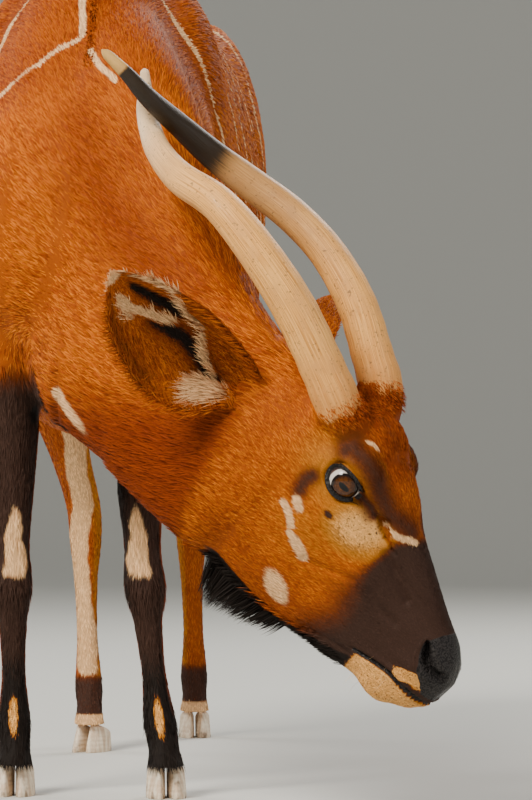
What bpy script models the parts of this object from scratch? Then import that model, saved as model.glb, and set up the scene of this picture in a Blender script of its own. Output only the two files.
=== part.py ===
"""Bongo antelope, life size, standing on four feet with its head lowered to graze.

Metres, +Z up. The body faces -Y, and the animal's left is +X.
The flesh is lofted from sections of named size, fused into one skin, and parted into named pieces by thin cuts.
"""

import math
import random

import bmesh
import bpy
import numpy as np
from mathutils import Matrix, Vector

# Driving dimensions
WITHERS_HEIGHT = 1.20
BELLY_HEIGHT = 0.50
BARREL_HALF_WIDTH = 0.214
EAR_LENGTH = 0.25
EAR_WIDTH = 0.137
EYE_RADIUS = 0.0235
HORN_BASE_RADIUS = 0.031
HOOF_HEIGHT = 0.048
HOOF_LENGTH = 0.085
CLAW_WIDTH = 0.030
TAIL_LENGTH = 0.48
GAP = 0.0003
FUSE_VOXEL = 0.0062

# Head frame: A runs from poll to nose, L to the animal's left, U out of the forehead
HEAD_ORIGIN = Vector((0.381, -0.400, 0.446))
HEAD_A = Vector((0.600, -0.185, -0.776)).normalized()
HEAD_L = Vector((0.420, 0.900, 0.110))
HEAD_L = (HEAD_L - HEAD_A * HEAD_L.dot(HEAD_A)).normalized()
HEAD_U = HEAD_A.cross(HEAD_L)

COAT = (0.52, 0.17, 0.045)
COLOURS = {
    "coat": (COAT, 0.75),
    "horn": ((0.62, 0.50, 0.36), 0.45),
    "hoof": ((0.72, 0.66, 0.56), 0.5),
    "eye": ((0.03, 0.015, 0.01), 0.08),
}


def clear_scene():
    for obj in list(bpy.data.objects):
        bpy.data.objects.remove(obj)


def material(name, finish):
    """A node's own Principled material, coloured by its kind of surface."""
    colour, roughness = COLOURS[finish]
    made = bpy.data.materials.new(name)
    made.use_nodes = True
    shader = made.node_tree.nodes["Principled BSDF"]
    shader.inputs["Base Color"].default_value = (*colour, 1.0)
    shader.inputs["Roughness"].default_value = roughness
    shader.inputs["Metallic"].default_value = 0.0
    return made


def add_object(name, bm, finish):
    bm.normal_update()
    bmesh.ops.recalc_face_normals(bm, faces=bm.faces)
    mesh = bpy.data.meshes.new(name)
    bm.to_mesh(mesh)
    bm.free()
    obj = bpy.data.objects.new(name, mesh)
    obj["finish"] = finish
    bpy.context.scene.collection.objects.link(obj)
    return obj


def head_point(a, u, l=0.0):
    return HEAD_ORIGIN + HEAD_A * a + HEAD_U * u + HEAD_L * l


# Lofts: a section is centre, side, up and down vectors, with a squareness of 2 for an ellipse
def section(centre, side, up, down, squareness=2.0):
    return (Vector(centre), Vector(side), Vector(up), Vector(down), squareness)


def smoothed(sections, per_span):
    """Catmull-Rom sections between the given ones."""
    rows = [np.array([*c, *s, *u, *d, q]) for c, s, u, d, q in sections]
    rows = [2 * rows[0] - rows[1], *rows, 2 * rows[-1] - rows[-2]]
    out = []
    for i in range(1, len(rows) - 2):
        p0, p1, p2, p3 = rows[i - 1 : i + 3]
        for k in range(per_span):
            t = k / per_span
            out.append(
                0.5
                * (
                    2 * p1
                    + (p2 - p0) * t
                    + (2 * p0 - 5 * p1 + 4 * p2 - p3) * t**2
                    + (3 * p1 - p0 - 3 * p2 + p3) * t**3
                )
            )
    out.append(rows[-2])
    return [section(r[0:3], r[3:6], r[6:9], r[9:12], r[12]) for r in out]


def ring_points(sec, sides):
    centre, side, up, down, q = sec
    points = []
    for k in range(sides):
        angle = 2 * math.pi * k / sides
        c, s = math.cos(angle), math.sin(angle)
        x = math.copysign(abs(c) ** (2 / q), c)
        z = math.copysign(abs(s) ** (2 / q), s)
        points.append(centre + side * x + (up if z > 0 else down) * abs(z))
    return points


def loft(bm, sections, sides=24, per_span=4):
    """A closed tube through the sections, each end closed by a fan to its centre."""
    rings = []
    for sec in smoothed(sections, per_span):
        rings.append([bm.verts.new(p) for p in ring_points(sec, sides)])
    for low, high in zip(rings, rings[1:]):
        for k in range(sides):
            n = (k + 1) % sides
            bm.faces.new((low[k], low[n], high[n], high[k]))
    for ring, flip in ((rings[0], True), (rings[-1], False)):
        centre = bm.verts.new(sum((v.co for v in ring), Vector()) / sides)
        for k in range(sides):
            a, b = ring[k], ring[(k + 1) % sides]
            bm.faces.new((b, a, centre) if flip else (a, b, centre))


# Torso: distance behind the front feet, back height, underline height, half width, squareness
TORSO = [
    (-0.185, 0.86, 0.70, 0.045, 2.0),
    (-0.150, 0.93, 0.62, 0.095, 2.0),
    (-0.070, 1.035, 0.555, 0.140, 2.0),
    (0.030, 1.135, 0.525, 0.165, 2.0),
    (0.140, WITHERS_HEIGHT, 0.512, 0.178, 2.0),
    (0.300, 1.185, BELLY_HEIGHT, 0.200, 2.2),
    (0.500, 1.168, 0.495, BARREL_HALF_WIDTH, 2.45),
    (0.680, 1.172, 0.515, 0.217, 2.45),
    (0.840, 1.186, 0.580, 0.201, 2.3),
    (0.980, 1.185, 0.655, 0.188, 2.2),
    (1.090, 1.135, 0.720, 0.150, 2.1),
    (1.165, 1.045, 0.790, 0.095, 2.0),
    (1.195, 0.980, 0.850, 0.045, 2.0),
]
WIDEST_AT = 0.44
SPINE_YAW = 0.036


def spine_x(y):
    """The body points a little to the animal's right of straight ahead."""
    return SPINE_YAW * y


def torso_sections():
    out = []
    for y, top, bottom, half, q in TORSO:
        z = bottom + WIDEST_AT * (top - bottom)
        out.append(
            section(
                (spine_x(y), y, z), (half, 0, 0), (0, 0, top - z), (0, 0, bottom - z), q
            )
        )
    return out


# Neck: centre of each section, its nape and throat reach, and its half width
NECK = [
    ((0.004, 0.090, 0.870), (0.02, 0.06, 0.290), 0.26, 0.125),
    ((0.022, -0.050, 0.775), (0.07, -0.10, 0.245), 0.245, 0.120),
    ((0.062, -0.155, 0.665), (0.105, -0.085, 0.185), 0.193, 0.104),
    ((0.120, -0.240, 0.575), (0.095, -0.060, 0.135), 0.157, 0.090),
    ((0.185, -0.305, 0.515), (0.080, -0.045, 0.118), 0.158, 0.080),
    ((0.245, -0.345, 0.478), (0.070, -0.035, 0.105), 0.164, 0.077),
    ((0.300, -0.372, 0.458), (0.062, -0.032, 0.085), 0.144, 0.072),
]


def neck_sections():
    out = []
    for i, (centre, nape, throat, half) in enumerate(NECK):
        before, after = NECK[max(i - 1, 0)][0], NECK[min(i + 1, len(NECK) - 1)][0]
        along = (Vector(after) - Vector(before)).normalized()
        up = Vector(nape)
        side = along.cross(up).normalized() * half
        out.append(section(centre, side, up, -up.normalized() * throat, 2.1))
    return out


# Head sections: A, top U, underside U, U of the widest place, half width, squareness
HEAD = [
    (-0.185, -0.005, -0.150, -0.075, 0.045, 2.0),
    (-0.150, 0.022, -0.218, -0.080, 0.066, 2.1),
    (-0.095, 0.040, -0.245, -0.055, 0.076, 2.2),
    (-0.040, 0.050, -0.246, -0.035, 0.078, 2.25),
    (0.010, 0.048, -0.240, -0.030, 0.077, 2.2),
    (0.055, 0.033, -0.229, -0.055, 0.066, 2.2),
    (0.100, 0.006, -0.215, -0.085, 0.055, 2.2),
    (0.150, -0.015, -0.201, -0.100, 0.046, 2.3),
    (0.200, -0.036, -0.187, -0.105, 0.042, 2.4),
    (0.238, -0.050, -0.176, -0.108, 0.041, 2.4),
    (0.262, -0.066, -0.160, -0.110, 0.034, 2.3),
    (0.277, -0.088, -0.134, -0.112, 0.018, 2.0),
]


def head_sections():
    out = []
    for a, top, bottom, wide, half, q in HEAD:
        out.append(
            section(
                head_point(a, wide),
                HEAD_L * half,
                HEAD_U * (top - wide),
                HEAD_U * (bottom - wide),
                q,
            )
        )
    return out


# Legs: each row is a centre, its half width across the body and its half depth along it
LEGS = {
    "leg_front_left": [
        ((0.080, 0.110, 1.060), 0.050, 0.080),
        ((0.112, 0.060, 0.920), 0.062, 0.125),
        ((0.118, 0.010, 0.770), 0.062, 0.132),
        ((0.108, 0.030, 0.650), 0.056, 0.100),
        ((0.084, 0.035, 0.545), 0.046, 0.066),
        ((0.070, 0.020, 0.440), 0.036, 0.044),
        ((0.072, 0.006, 0.350), 0.028, 0.031),
        ((0.076, -0.006, 0.290), 0.031, 0.034),
        ((0.080, 0.000, 0.240), 0.0225, 0.026),
        ((0.088, 0.006, 0.170), 0.0190, 0.0235),
        ((0.096, 0.002, 0.105), 0.0250, 0.0290),
        ((0.102, -0.014, 0.070), 0.0240, 0.0250),
        ((0.105, -0.026, 0.040), 0.0290, 0.0340),
    ],
    "leg_front_right": [
        ((-0.078, 0.115, 1.060), 0.050, 0.080),
        ((-0.110, 0.065, 0.920), 0.062, 0.125),
        ((-0.118, 0.015, 0.770), 0.062, 0.132),
        ((-0.116, 0.035, 0.650), 0.056, 0.100),
        ((-0.114, 0.042, 0.545), 0.046, 0.066),
        ((-0.112, 0.036, 0.440), 0.036, 0.044),
        ((-0.111, 0.030, 0.350), 0.028, 0.031),
        ((-0.110, 0.024, 0.290), 0.031, 0.034),
        ((-0.109, 0.032, 0.240), 0.0225, 0.026),
        ((-0.108, 0.040, 0.170), 0.0190, 0.0235),
        ((-0.107, 0.038, 0.105), 0.0250, 0.0290),
        ((-0.106, 0.024, 0.070), 0.0240, 0.0250),
        ((-0.106, 0.012, 0.040), 0.0290, 0.0340),
    ],
    "leg_rear_left": [
        ((0.130, 0.990, 1.060), 0.055, 0.110),
        ((0.150, 0.985, 0.900), 0.070, 0.165),
        ((0.152, 0.965, 0.770), 0.066, 0.165),
        ((0.148, 0.980, 0.660), 0.058, 0.148),
        ((0.138, 1.035, 0.560), 0.046, 0.100),
        ((0.128, 1.112, 0.465), 0.034, 0.062),
        ((0.122, 1.178, 0.390), 0.030, 0.048),
        ((0.120, 1.205, 0.335), 0.028, 0.036),
        ((0.120, 1.228, 0.270), 0.0215, 0.028),
        ((0.122, 1.256, 0.180), 0.0190, 0.0255),
        ((0.123, 1.275, 0.105), 0.0245, 0.0290),
        ((0.124, 1.265, 0.070), 0.0230, 0.0250),
        ((0.124, 1.254, 0.040), 0.0280, 0.0330),
    ],
    "leg_rear_right": [
        ((-0.060, 0.960, 1.060), 0.055, 0.110),
        ((-0.090, 0.935, 0.900), 0.070, 0.165),
        ((-0.100, 0.890, 0.770), 0.066, 0.165),
        ((-0.104, 0.870, 0.660), 0.058, 0.145),
        ((-0.092, 0.888, 0.560), 0.046, 0.098),
        ((-0.068, 0.938, 0.465), 0.034, 0.060),
        ((-0.050, 0.985, 0.390), 0.030, 0.046),
        ((-0.046, 0.985, 0.335), 0.028, 0.036),
        ((-0.045, 0.975, 0.270), 0.0215, 0.028),
        ((-0.042, 0.955, 0.180), 0.0190, 0.0255),
        ((-0.039, 0.935, 0.105), 0.0245, 0.0290),
        ((-0.037, 0.915, 0.070), 0.0230, 0.0250),
        ((-0.037, 0.902, 0.040), 0.0280, 0.0330),
    ],
}


def leg_sections(rows):
    return [section(c, (w, 0, 0), (0, d, 0), (0, -d, 0), 2.1) for c, w, d in rows]


# The tail hangs from the rump: centre and radius
TAIL_ROOT = Vector((0.040, 1.130, 1.090))
TAIL = [
    (TAIL_ROOT, 0.030),
    (Vector((0.042, 1.190, 1.060)), 0.026),
    (Vector((0.043, 1.226, 0.985)), 0.021),
    (Vector((0.044, 1.238, 0.880)), 0.0165),
    (Vector((0.044, 1.240, 1.060 - TAIL_LENGTH * 0.70)), 0.013),
    (Vector((0.044, 1.238, 1.060 - TAIL_LENGTH)), 0.008),
]


def tail_sections():
    return [section(c, (r, 0, 0), (0, r, 0), (0, -r, 0)) for c, r in TAIL]


# Horns: A, U, L in the head frame and radius, from root to tip
HORN_SIDES = 12
HORN_KEEL = 0.16
HORN_TURNS = 0.9
HORNS = {
    "horn_right": [
        (-0.055, 0.004, -0.040, 0.0310),
        (-0.080, 0.039, -0.048, 0.0315),
        (-0.145, 0.066, -0.064, 0.0305),
        (-0.220, 0.089, -0.078, 0.0290),
        (-0.302, 0.100, -0.088, 0.0260),
        (-0.383, 0.095, -0.081, 0.0230),
        (-0.450, 0.066, -0.055, 0.0212),
        (-0.505, 0.053, -0.024, 0.0185),
        (-0.539, 0.051, 0.002, 0.0155),
        (-0.574, 0.059, 0.022, 0.0120),
        (-0.597, 0.074, 0.029, 0.0080),
        (-0.617, 0.087, 0.031, 0.0035),
    ],
    "horn_left": [
        (-0.055, 0.000, 0.038, 0.0290),
        (-0.080, 0.056, 0.048, 0.0290),
        (-0.138, 0.084, 0.057, 0.0285),
        (-0.202, 0.106, 0.065, 0.0275),
        (-0.276, 0.113, 0.074, 0.0255),
        (-0.347, 0.106, 0.078, 0.0235),
        (-0.412, 0.091, 0.073, 0.0215),
        (-0.476, 0.080, 0.053, 0.0190),
        (-0.525, 0.082, 0.017, 0.0165),
        (-0.567, 0.088, -0.023, 0.0135),
        (-0.608, 0.090, -0.038, 0.0095),
        (-0.653, 0.086, -0.044, 0.0035),
    ],
}
PEDICLE_LENGTH = 0.052
PEDICLE_MARGIN = 0.0032


# Muscles and bones that show: centre with the animal's left positive, then three radii
BODY_BULGES = [
    ((0.105, -0.050, 0.790), (0.070, 0.085, 0.150)),
    ((0.100, 0.190, 0.920), (0.090, 0.150, 0.230)),
    ((0.118, 0.095, 0.600), (0.036, 0.055, 0.070)),
    ((0.108, 1.000, 0.900), (0.105, 0.190, 0.270)),
    ((0.080, 0.930, 1.085), (0.070, 0.130, 0.075)),
]
HEAD_BULGES = [
    ((-0.010, 0.012, 0.050), (0.046, 0.032, 0.029)),
    ((-0.036, 0.030, 0.018), (0.054, 0.038, 0.036)),
    ((-0.045, -0.115, 0.042), (0.080, 0.080, 0.032)),
    ((0.045, -0.070, 0.040), (0.085, 0.028, 0.022)),
    ((0.236, -0.090, 0.024), (0.028, 0.024, 0.021)),
    ((0.222, -0.128, 0.022), (0.042, 0.020, 0.022)),
    ((0.205, -0.170, 0.006), (0.038, 0.022, 0.028)),
]
DEWCLAW_APART = 0.013
DEWCLAW_DROP = 0.014
DEWCLAW_RADII = (0.0085, 0.0105, 0.0150)
FETLOCK_ROW = 10
SPINE_BULGE = ((0.006, 0.230, 1.095), (0.050, 0.230, 0.103))


def ellipsoid(bm, centre, axes, segments=20):
    """A closed ball stretched along three given vectors."""
    made = bmesh.ops.create_uvsphere(bm, u_segments=segments, v_segments=segments // 2, radius=1.0)
    for v in made["verts"]:
        v.co = centre + axes[0] * v.co.x + axes[1] * v.co.y + axes[2] * v.co.z


def add_bulges(bm):
    world = (Vector((1, 0, 0)), Vector((0, 1, 0)), Vector((0, 0, 1)))
    for side in (1, -1):
        for (x, y, z), radii in BODY_BULGES:
            centre = Vector((side * x + spine_x(y), y, z))
            ellipsoid(bm, centre, [w * r for w, r in zip(world, radii)])
        for (a, u, l), (ra, ru, rl) in HEAD_BULGES:
            centre = head_point(a, u, side * l)
            ellipsoid(bm, centre, (HEAD_A * ra, HEAD_U * ru, HEAD_L * rl))
    for rows in HORNS.values():
        low, high = [head_point(*row[:3]) for row in rows[1:3]]
        along = (high - low).normalized()
        side = along.orthogonal().normalized()
        wide = rows[1][3] + PEDICLE_MARGIN
        axes = (along * PEDICLE_LENGTH, side * wide, along.cross(side) * wide)
        ellipsoid(bm, low, axes)
    for rows in LEGS.values():
        (x, y, z), wide, deep = rows[FETLOCK_ROW]
        for side in (1, -1):
            centre = Vector((x + side * DEWCLAW_APART, y + deep * 0.95, z - DEWCLAW_DROP))
            ellipsoid(bm, centre, [w * r for w, r in zip(world, DEWCLAW_RADII)], 12)
    centre, radii = SPINE_BULGE
    ellipsoid(bm, Vector(centre), [w * r for w, r in zip(world, radii)])


def flesh():
    """All of the body in one closed surface, finer on the head."""
    bm = bmesh.new()
    loft(bm, torso_sections(), 36, 4)
    loft(bm, neck_sections(), 28, 4)
    loft(bm, head_sections(), 36, 4)
    for rows in LEGS.values():
        loft(bm, leg_sections(rows), 20, 4)
    loft(bm, tail_sections(), 14, 4)
    add_bulges(bm)
    body = add_object("flesh", bm, "coat")
    remesh = body.modifiers.new("fuse", "REMESH")
    remesh.mode = "VOXEL"
    remesh.voxel_size = FUSE_VOXEL
    soften = body.modifiers.new("soften", "SMOOTH")
    soften.factor = 0.5
    soften.iterations = 5
    apply_all(body)
    trunk = body.vertex_groups.new(name="trunk")
    trunk.add([v.index for v in body.data.vertices if on_trunk(v.co)], 1.0, "REPLACE")
    fair = body.modifiers.new("fair", "SMOOTH")
    fair.factor = 0.5
    fair.iterations = 40
    fair.vertex_group = "trunk"
    apply_all(body)
    body.vertex_groups.clear()
    for inside, triangles in FLESH_BUDGET:
        thin_region(body, inside, triangles)
    return body


def on_head(p):
    return (p - HEAD_ORIGIN).length < 0.27 and (p - HEAD_ORIGIN).dot(HEAD_A) > -0.21


def on_legs(p):
    return p.z < 0.60 and not on_head(p) and (p.y > 0.62 or abs(p.x) > 0.035)


def on_trunk(p):
    return not on_head(p) and not on_legs(p)


FLESH_BUDGET = [(on_head, 2600), (on_legs, 1700), (on_trunk, 1500)]


def thin_region(body, inside, triangles):
    """Thins one region of the flesh to a number of triangles and leaves the others alone."""
    mesh = body.data
    group = body.vertex_groups.new(name="region")
    marked = [inside(v.co) for v in mesh.vertices]
    group.add([i for i, m in enumerate(marked) if m], 1.0, "REPLACE")
    total = region = 0
    for face in mesh.polygons:
        count = len(face.vertices) - 2
        total += count
        if marked[face.vertices[0]]:
            region += count
    thin = body.modifiers.new("thin", "DECIMATE")
    thin.ratio = (total - region + triangles) / total
    thin.vertex_group = "region"
    thin.vertex_group_factor = 10.0
    thin.use_collapse_triangulate = True
    apply_all(body)
    body.vertex_groups.clear()


def apply_all(obj):
    """Replaces the object's mesh by the one its modifiers give."""
    graph = bpy.context.evaluated_depsgraph_get()
    mesh = bpy.data.meshes.new_from_object(obj.evaluated_get(graph))
    obj.modifiers.clear()
    old, obj.data = obj.data, mesh
    bpy.data.meshes.remove(old)


def boolean(obj, other, operation, solver="MANIFOLD"):
    """other is an object, or a collection for a union of many pieces."""
    step = obj.modifiers.new("cut", "BOOLEAN")
    step.operation = operation
    step.solver = solver
    if isinstance(other, bpy.types.Collection):
        step.operand_type = "COLLECTION"
        step.collection = other
    else:
        step.object = other
    apply_all(obj)


def largest_shell(obj):
    """Keeps only the biggest closed surface of a node."""
    bm = bmesh.new()
    bm.from_mesh(obj.data)
    left, shells = set(bm.verts), []
    while left:
        todo, shell = [left.pop()], []
        while todo:
            v = todo.pop()
            shell.append(v)
            for e in v.link_edges:
                w = e.other_vert(v)
                if w in left:
                    left.remove(w)
                    todo.append(w)
        shells.append(shell)
    shells.sort(key=len)
    for shell in shells[:-1]:
        bmesh.ops.delete(bm, geom=shell, context="VERTS")
    bm.to_mesh(obj.data)
    bm.free()


def block(name, low, high, turn=None):
    """A box, turned about its own middle."""
    bm = bmesh.new()
    bmesh.ops.create_cube(bm, size=1.0)
    size = Vector(high) - Vector(low)
    middle = (Vector(high) + Vector(low)) / 2
    for v in bm.verts:
        v.co = Vector((v.co.x * size.x, v.co.y * size.y, v.co.z * size.z))
        if turn is not None:
            v.co = turn @ v.co
        v.co += middle
    return add_object(name, bm, "coat")


def copy_of(obj, name):
    made = obj.copy()
    made.data = obj.data.copy()
    made.name = name
    bpy.context.scene.collection.objects.link(made)
    return made


def turn_between(axis, angle):
    return Matrix.Rotation(math.radians(angle), 3, axis)


def grown(low, high, by):
    step = Vector((by, by, by))
    return Vector(low) - step, Vector(high) + step


# Cutting blocks: name, low corner, high corner, turn axis and degrees
PARTINGS = [
    ("leg_front_left", (0.020, -0.075, -0.05), (0.330, 0.170, 0.498), "Y", 0.0),
    ("leg_front_right", (-0.330, -0.065, -0.05), (-0.036, 0.180, 0.498), "Y", 0.0),
    ("leg_rear_left", (0.040, 0.830, -0.05), (0.400, 1.500, 0.560), "X", 0.0),
    ("leg_rear_right", (-0.400, 0.760, -0.05), (0.030, 1.260, 0.550), "X", 0.0),
    ("tail", (-0.06, 1.190, 0.30), (0.15, 1.450, 1.30), "X", 0.0),
]
NECK_CUT = (Vector((0.030, -0.090, 0.760)), Vector((0.22, -0.80, -0.45)))
HEAD_CUT = (Vector((0.232, -0.335, 0.492)), Vector((0.66, -0.30, -0.50)))
CUT_REACH = 1.6


def half_space(name, point, normal, lift):
    """A large block that fills one side of a plane, lifted off it by a distance."""
    turn = normal.normalized().to_track_quat("Z", "Y").to_matrix()
    middle = point + normal.normalized() * (CUT_REACH / 2 + lift)
    corner = Vector((CUT_REACH, CUT_REACH, CUT_REACH)) / 2
    return block(name, middle - corner, middle + corner, turn)


def part_off(rest, name, make_block):
    """Takes the piece inside a block off the rest, with the gap that touching pieces keep."""
    piece = copy_of(rest, name)
    inner = make_block("inner", GAP / 2)
    boolean(piece, inner, "INTERSECT")
    bpy.data.objects.remove(inner)
    outer = make_block("outer", -GAP / 2)
    boolean(rest, outer, "DIFFERENCE")
    bpy.data.objects.remove(outer)
    largest_shell(piece)
    largest_shell(rest)
    return piece


def part_flesh():
    """Cuts the flesh into head, neck, legs, tail and torso."""
    rest = flesh()
    nodes = {}
    for name, low, high, axis, degrees in PARTINGS:
        turn = turn_between(axis, degrees)

        def make_block(label, inset, low=low, high=high, turn=turn):
            return block(label, *grown(low, high, -inset), turn)

        nodes[name] = part_off(rest, name, make_block)
    for name, (point, normal) in (("neck", NECK_CUT), ("head", HEAD_CUT)):
        source = rest if name == "neck" else nodes["neck"]

        def make_block(label, inset, point=point, normal=normal):
            return half_space(label, point, normal, inset)

        nodes[name] = part_off(source, name, make_block)
    rest.name = "torso"
    nodes["torso"] = rest
    return nodes


# Hooves: two claws on each foot, flat below, higher at the toe
CORONET_TILT = 0.35
CORONET_BACK = 0.016
CORONET_NARROWING = 0.30
FEET = {
    "front_left": (Vector((0.106, -0.020, 0.0)), 0.10, 1.00),
    "front_right": (Vector((-0.106, 0.018, 0.0)), -0.06, 1.00),
    "rear_left": (Vector((0.125, 1.262, 0.0)), 0.08, 0.94),
    "rear_right": (Vector((-0.037, 0.908, 0.0)), -0.42, 0.94),
}
CLAW_INNER = 0.80
CLEFT_HALF = 0.0012
CLAW_SIDES = 12
CLAW_LEVELS = 4


def claw(name, foot, outward):
    """One claw: a D-shaped wall that narrows to the toe and leans back as it rises."""
    centre, heading, size = FEET[foot]
    turn = Matrix.Rotation(heading, 3, "Z")
    bm = bmesh.new()
    rings = []
    for level in range(CLAW_LEVELS):
        t = level / (CLAW_LEVELS - 1)
        ring = []
        for k in range(CLAW_SIDES):
            angle = 2 * math.pi * k / CLAW_SIDES
            across = math.cos(angle)
            along = math.sin(angle)
            toe = max(0.0, along)
            half = CLAW_WIDTH / 2 * (1 - 0.30 * toe**2) * (1 - 0.10 * t)
            x = half * across
            if across * outward < 0:
                x *= CLAW_INNER
            y = -along * HOOF_LENGTH * 0.5 * (1 - CORONET_NARROWING * t)
            y += CORONET_BACK * (0.4 + 0.6 * t)
            x += outward * (half * CLAW_INNER + CLEFT_HALF + 0.0020 * toe)
            z = HOOF_HEIGHT * t * (1 - CORONET_TILT * (0.5 - 0.5 * along))
            point = turn @ Vector((x * size, y * size, z * size))
            ring.append(bm.verts.new(centre + point))
        rings.append(ring)
    for low, high in zip(rings, rings[1:]):
        for k in range(CLAW_SIDES):
            n = (k + 1) % CLAW_SIDES
            bm.faces.new((low[k], low[n], high[n], high[k]))
    bm.faces.new(rings[0][::-1])
    bm.faces.new(rings[-1])
    return add_object(name, bm, "hoof")


def fat_copy(obj, by):
    """The piece grown outwards by a small distance, as a cutter that leaves a gap."""
    made = copy_of(obj, obj.name + "_room")
    made.data.update()
    normals = [v.normal.copy() for v in made.data.vertices]
    for v, n in zip(made.data.vertices, normals):
        v.co += n * by
    return made


def add_hooves(nodes):
    """Each leg is cut back to the top of its hooves, and to the floor of the coronet."""
    for foot, (centre, heading, size) in FEET.items():
        leg = nodes["leg_" + foot]
        for side, outward in (("left", 1), ("right", -1)):
            name = f"hoof_{foot}_{side}_claw"
            nodes[name] = claw(name, foot, outward)
        turn = Matrix.Rotation(heading, 3, "Z")
        slope = math.atan2(HOOF_HEIGHT * CORONET_TILT, HOOF_LENGTH * (1 - CORONET_NARROWING))
        lean = turn @ Matrix.Rotation(-slope, 3, "X")
        top = centre + Vector((0, 0, HOOF_HEIGHT * size * (1 - CORONET_TILT * 0.5)))
        top += turn @ Vector((0, CORONET_BACK * size, 0)) + Vector((0, 0, GAP * 1.5))
        reach = Vector((0.2, 0.2, 0.2))
        down = lean @ Vector((0, 0, -0.1))
        floor = block("floor", top + down - reach / 2, top + down + reach / 2, lean)
        boolean(leg, floor, "DIFFERENCE")
        bpy.data.objects.remove(floor)
        largest_shell(leg)


def curve_points(points, per_span):
    """Catmull-Rom points through rows of numbers."""
    rows = [np.array(p, dtype=float) for p in points]
    rows = [2 * rows[0] - rows[1], *rows, 2 * rows[-1] - rows[-2]]
    out = []
    for i in range(1, len(rows) - 2):
        p0, p1, p2, p3 = rows[i - 1 : i + 3]
        for k in range(per_span):
            t = k / per_span
            bend = 2 * p0 - 5 * p1 + 4 * p2 - p3
            swing = 3 * p1 - p0 - 3 * p2 + p3
            out.append(0.5 * (2 * p1 + (p2 - p0) * t + bend * t**2 + swing * t**3))
    out.append(rows[-2])
    return out


def swept(bm, path, sides, profile):
    """A closed tube along a path; profile gives each ring point in the ring's own plane."""
    count = len(path)
    rings = []
    side = None
    for i, centre in enumerate(path):
        along = (path[min(i + 1, count - 1)] - path[max(i - 1, 0)]).normalized()
        if side is None:
            side = along.cross(HEAD_U).normalized()
        side = (side - along * side.dot(along)).normalized()
        up = side.cross(along)
        ring = []
        for k in range(sides):
            x, y = profile(i, 2 * math.pi * k / sides)
            ring.append(bm.verts.new(centre + side * x + up * y))
        rings.append(ring)
    for low, high in zip(rings, rings[1:]):
        for k in range(sides):
            n = (k + 1) % sides
            bm.faces.new((low[k], low[n], high[n], high[k]))
    bm.faces.new(rings[0][::-1])
    bm.faces.new(rings[-1])


def horn(name):
    rows = curve_points(HORNS[name], 2)
    path = [head_point(a, u, l) for a, u, l, r in rows]
    handed = 1 if name == "horn_right" else -1

    def profile(i, angle):
        turn = handed * HORN_TURNS * 2 * math.pi * (i / (len(rows) - 1)) ** 1.5
        reach = max(0.0, math.cos(angle - turn)) ** 3
        radius = rows[i][3] * (0.95 + HORN_KEEL * reach)
        return radius * math.cos(angle), radius * math.sin(angle)

    bm = bmesh.new()
    swept(bm, path, HORN_SIDES, profile)
    return add_object(name, bm, "horn")


# Ears: share of the length, then reach of the upper and the lower edge, and depth of the cup
EAR_OUTLINE = [
    (0.00, 0.016, 0.018, 0.014),
    (0.08, 0.020, 0.038, 0.020),
    (0.18, 0.030, 0.070, 0.031),
    (0.32, 0.038, 0.092, 0.037),
    (0.48, 0.043, 0.094, 0.037),
    (0.62, 0.040, 0.084, 0.033),
    (0.76, 0.033, 0.070, 0.025),
    (0.87, 0.024, 0.048, 0.015),
    (0.95, 0.013, 0.025, 0.006),
    (1.00, 0.003, 0.004, 0.001),
]
EAR_WIDE_SHARE = EAR_WIDTH / 0.137
EAR_STEPS = 8
EAR_SKIN = 0.0042
EAR_ROOT_DEPTH = 0.030
EARS = {
    "ear_right": (
        head_point(-0.187, -0.031, -0.070),
        Vector((-0.191, -0.130, 0.158)),
        Vector((0.10, -1.0, -0.35)),
        1,
    ),
    "ear_left": (
        head_point(-0.170, -0.031, 0.075),
        Vector((0.180, 0.850, 0.500)),
        Vector((0.60, 0.30, -0.70)),
        -1,
    ),
}


def ear(name):
    """A cup of thin hide: an outer and an inner sheet joined round the rim."""
    root, along, facing, handed = EARS[name]
    along = along.normalized()
    facing = (facing - along * facing.dot(along)).normalized()
    across = along.cross(facing) * handed
    rows = curve_points(EAR_OUTLINE, 1)
    bm = bmesh.new()
    sheets = []
    for inner in (False, True):
        sheet = []
        for share, upper, lower, depth in rows:
            line = []
            for k in range(EAR_STEPS + 1):
                t = 2 * k / EAR_STEPS - 1
                reach = (upper if t > 0 else lower) * EAR_WIDE_SHARE * t
                hollow = -depth * (1 - t * t)
                rim = 1 - abs(t) ** 6
                skin = EAR_SKIN * (0.35 + 0.65 * rim) * (1 - 0.45 * share)
                lift = hollow + (skin / 2 if inner else -skin / 2)
                start = share * (EAR_LENGTH + EAR_ROOT_DEPTH) - EAR_ROOT_DEPTH
                point = root + along * start + across * reach + facing * lift
                line.append(bm.verts.new(point))
            sheet.append(line)
        sheets.append(sheet)
    outer, inner = sheets
    for sheet in sheets:
        for low, high in zip(sheet, sheet[1:]):
            for k in range(EAR_STEPS):
                bm.faces.new((low[k], low[k + 1], high[k + 1], high[k]))
    for k in range(EAR_STEPS):
        for row in (0, -1):
            bm.faces.new((outer[row][k], outer[row][k + 1], inner[row][k + 1], inner[row][k]))
    for i in range(len(rows) - 1):
        for edge in (0, -1):
            bm.faces.new((outer[i][edge], outer[i + 1][edge], inner[i + 1][edge], inner[i][edge]))
    return add_object(name, bm, "coat")


# Eyes: place in the head frame, gaze, and the almond of the lids
EYE_PLACE = (-0.008, -0.008, 0.0605)
EYE_GAZE = (0.20, 0.12, 0.95)
LID_HALF_LENGTH = 0.0230
LID_UPPER = 0.0172
LID_LOWER = 0.0150
LID_THICKNESS = 0.0040
LID_SIDES = 8
LID_STEPS = 22


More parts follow.
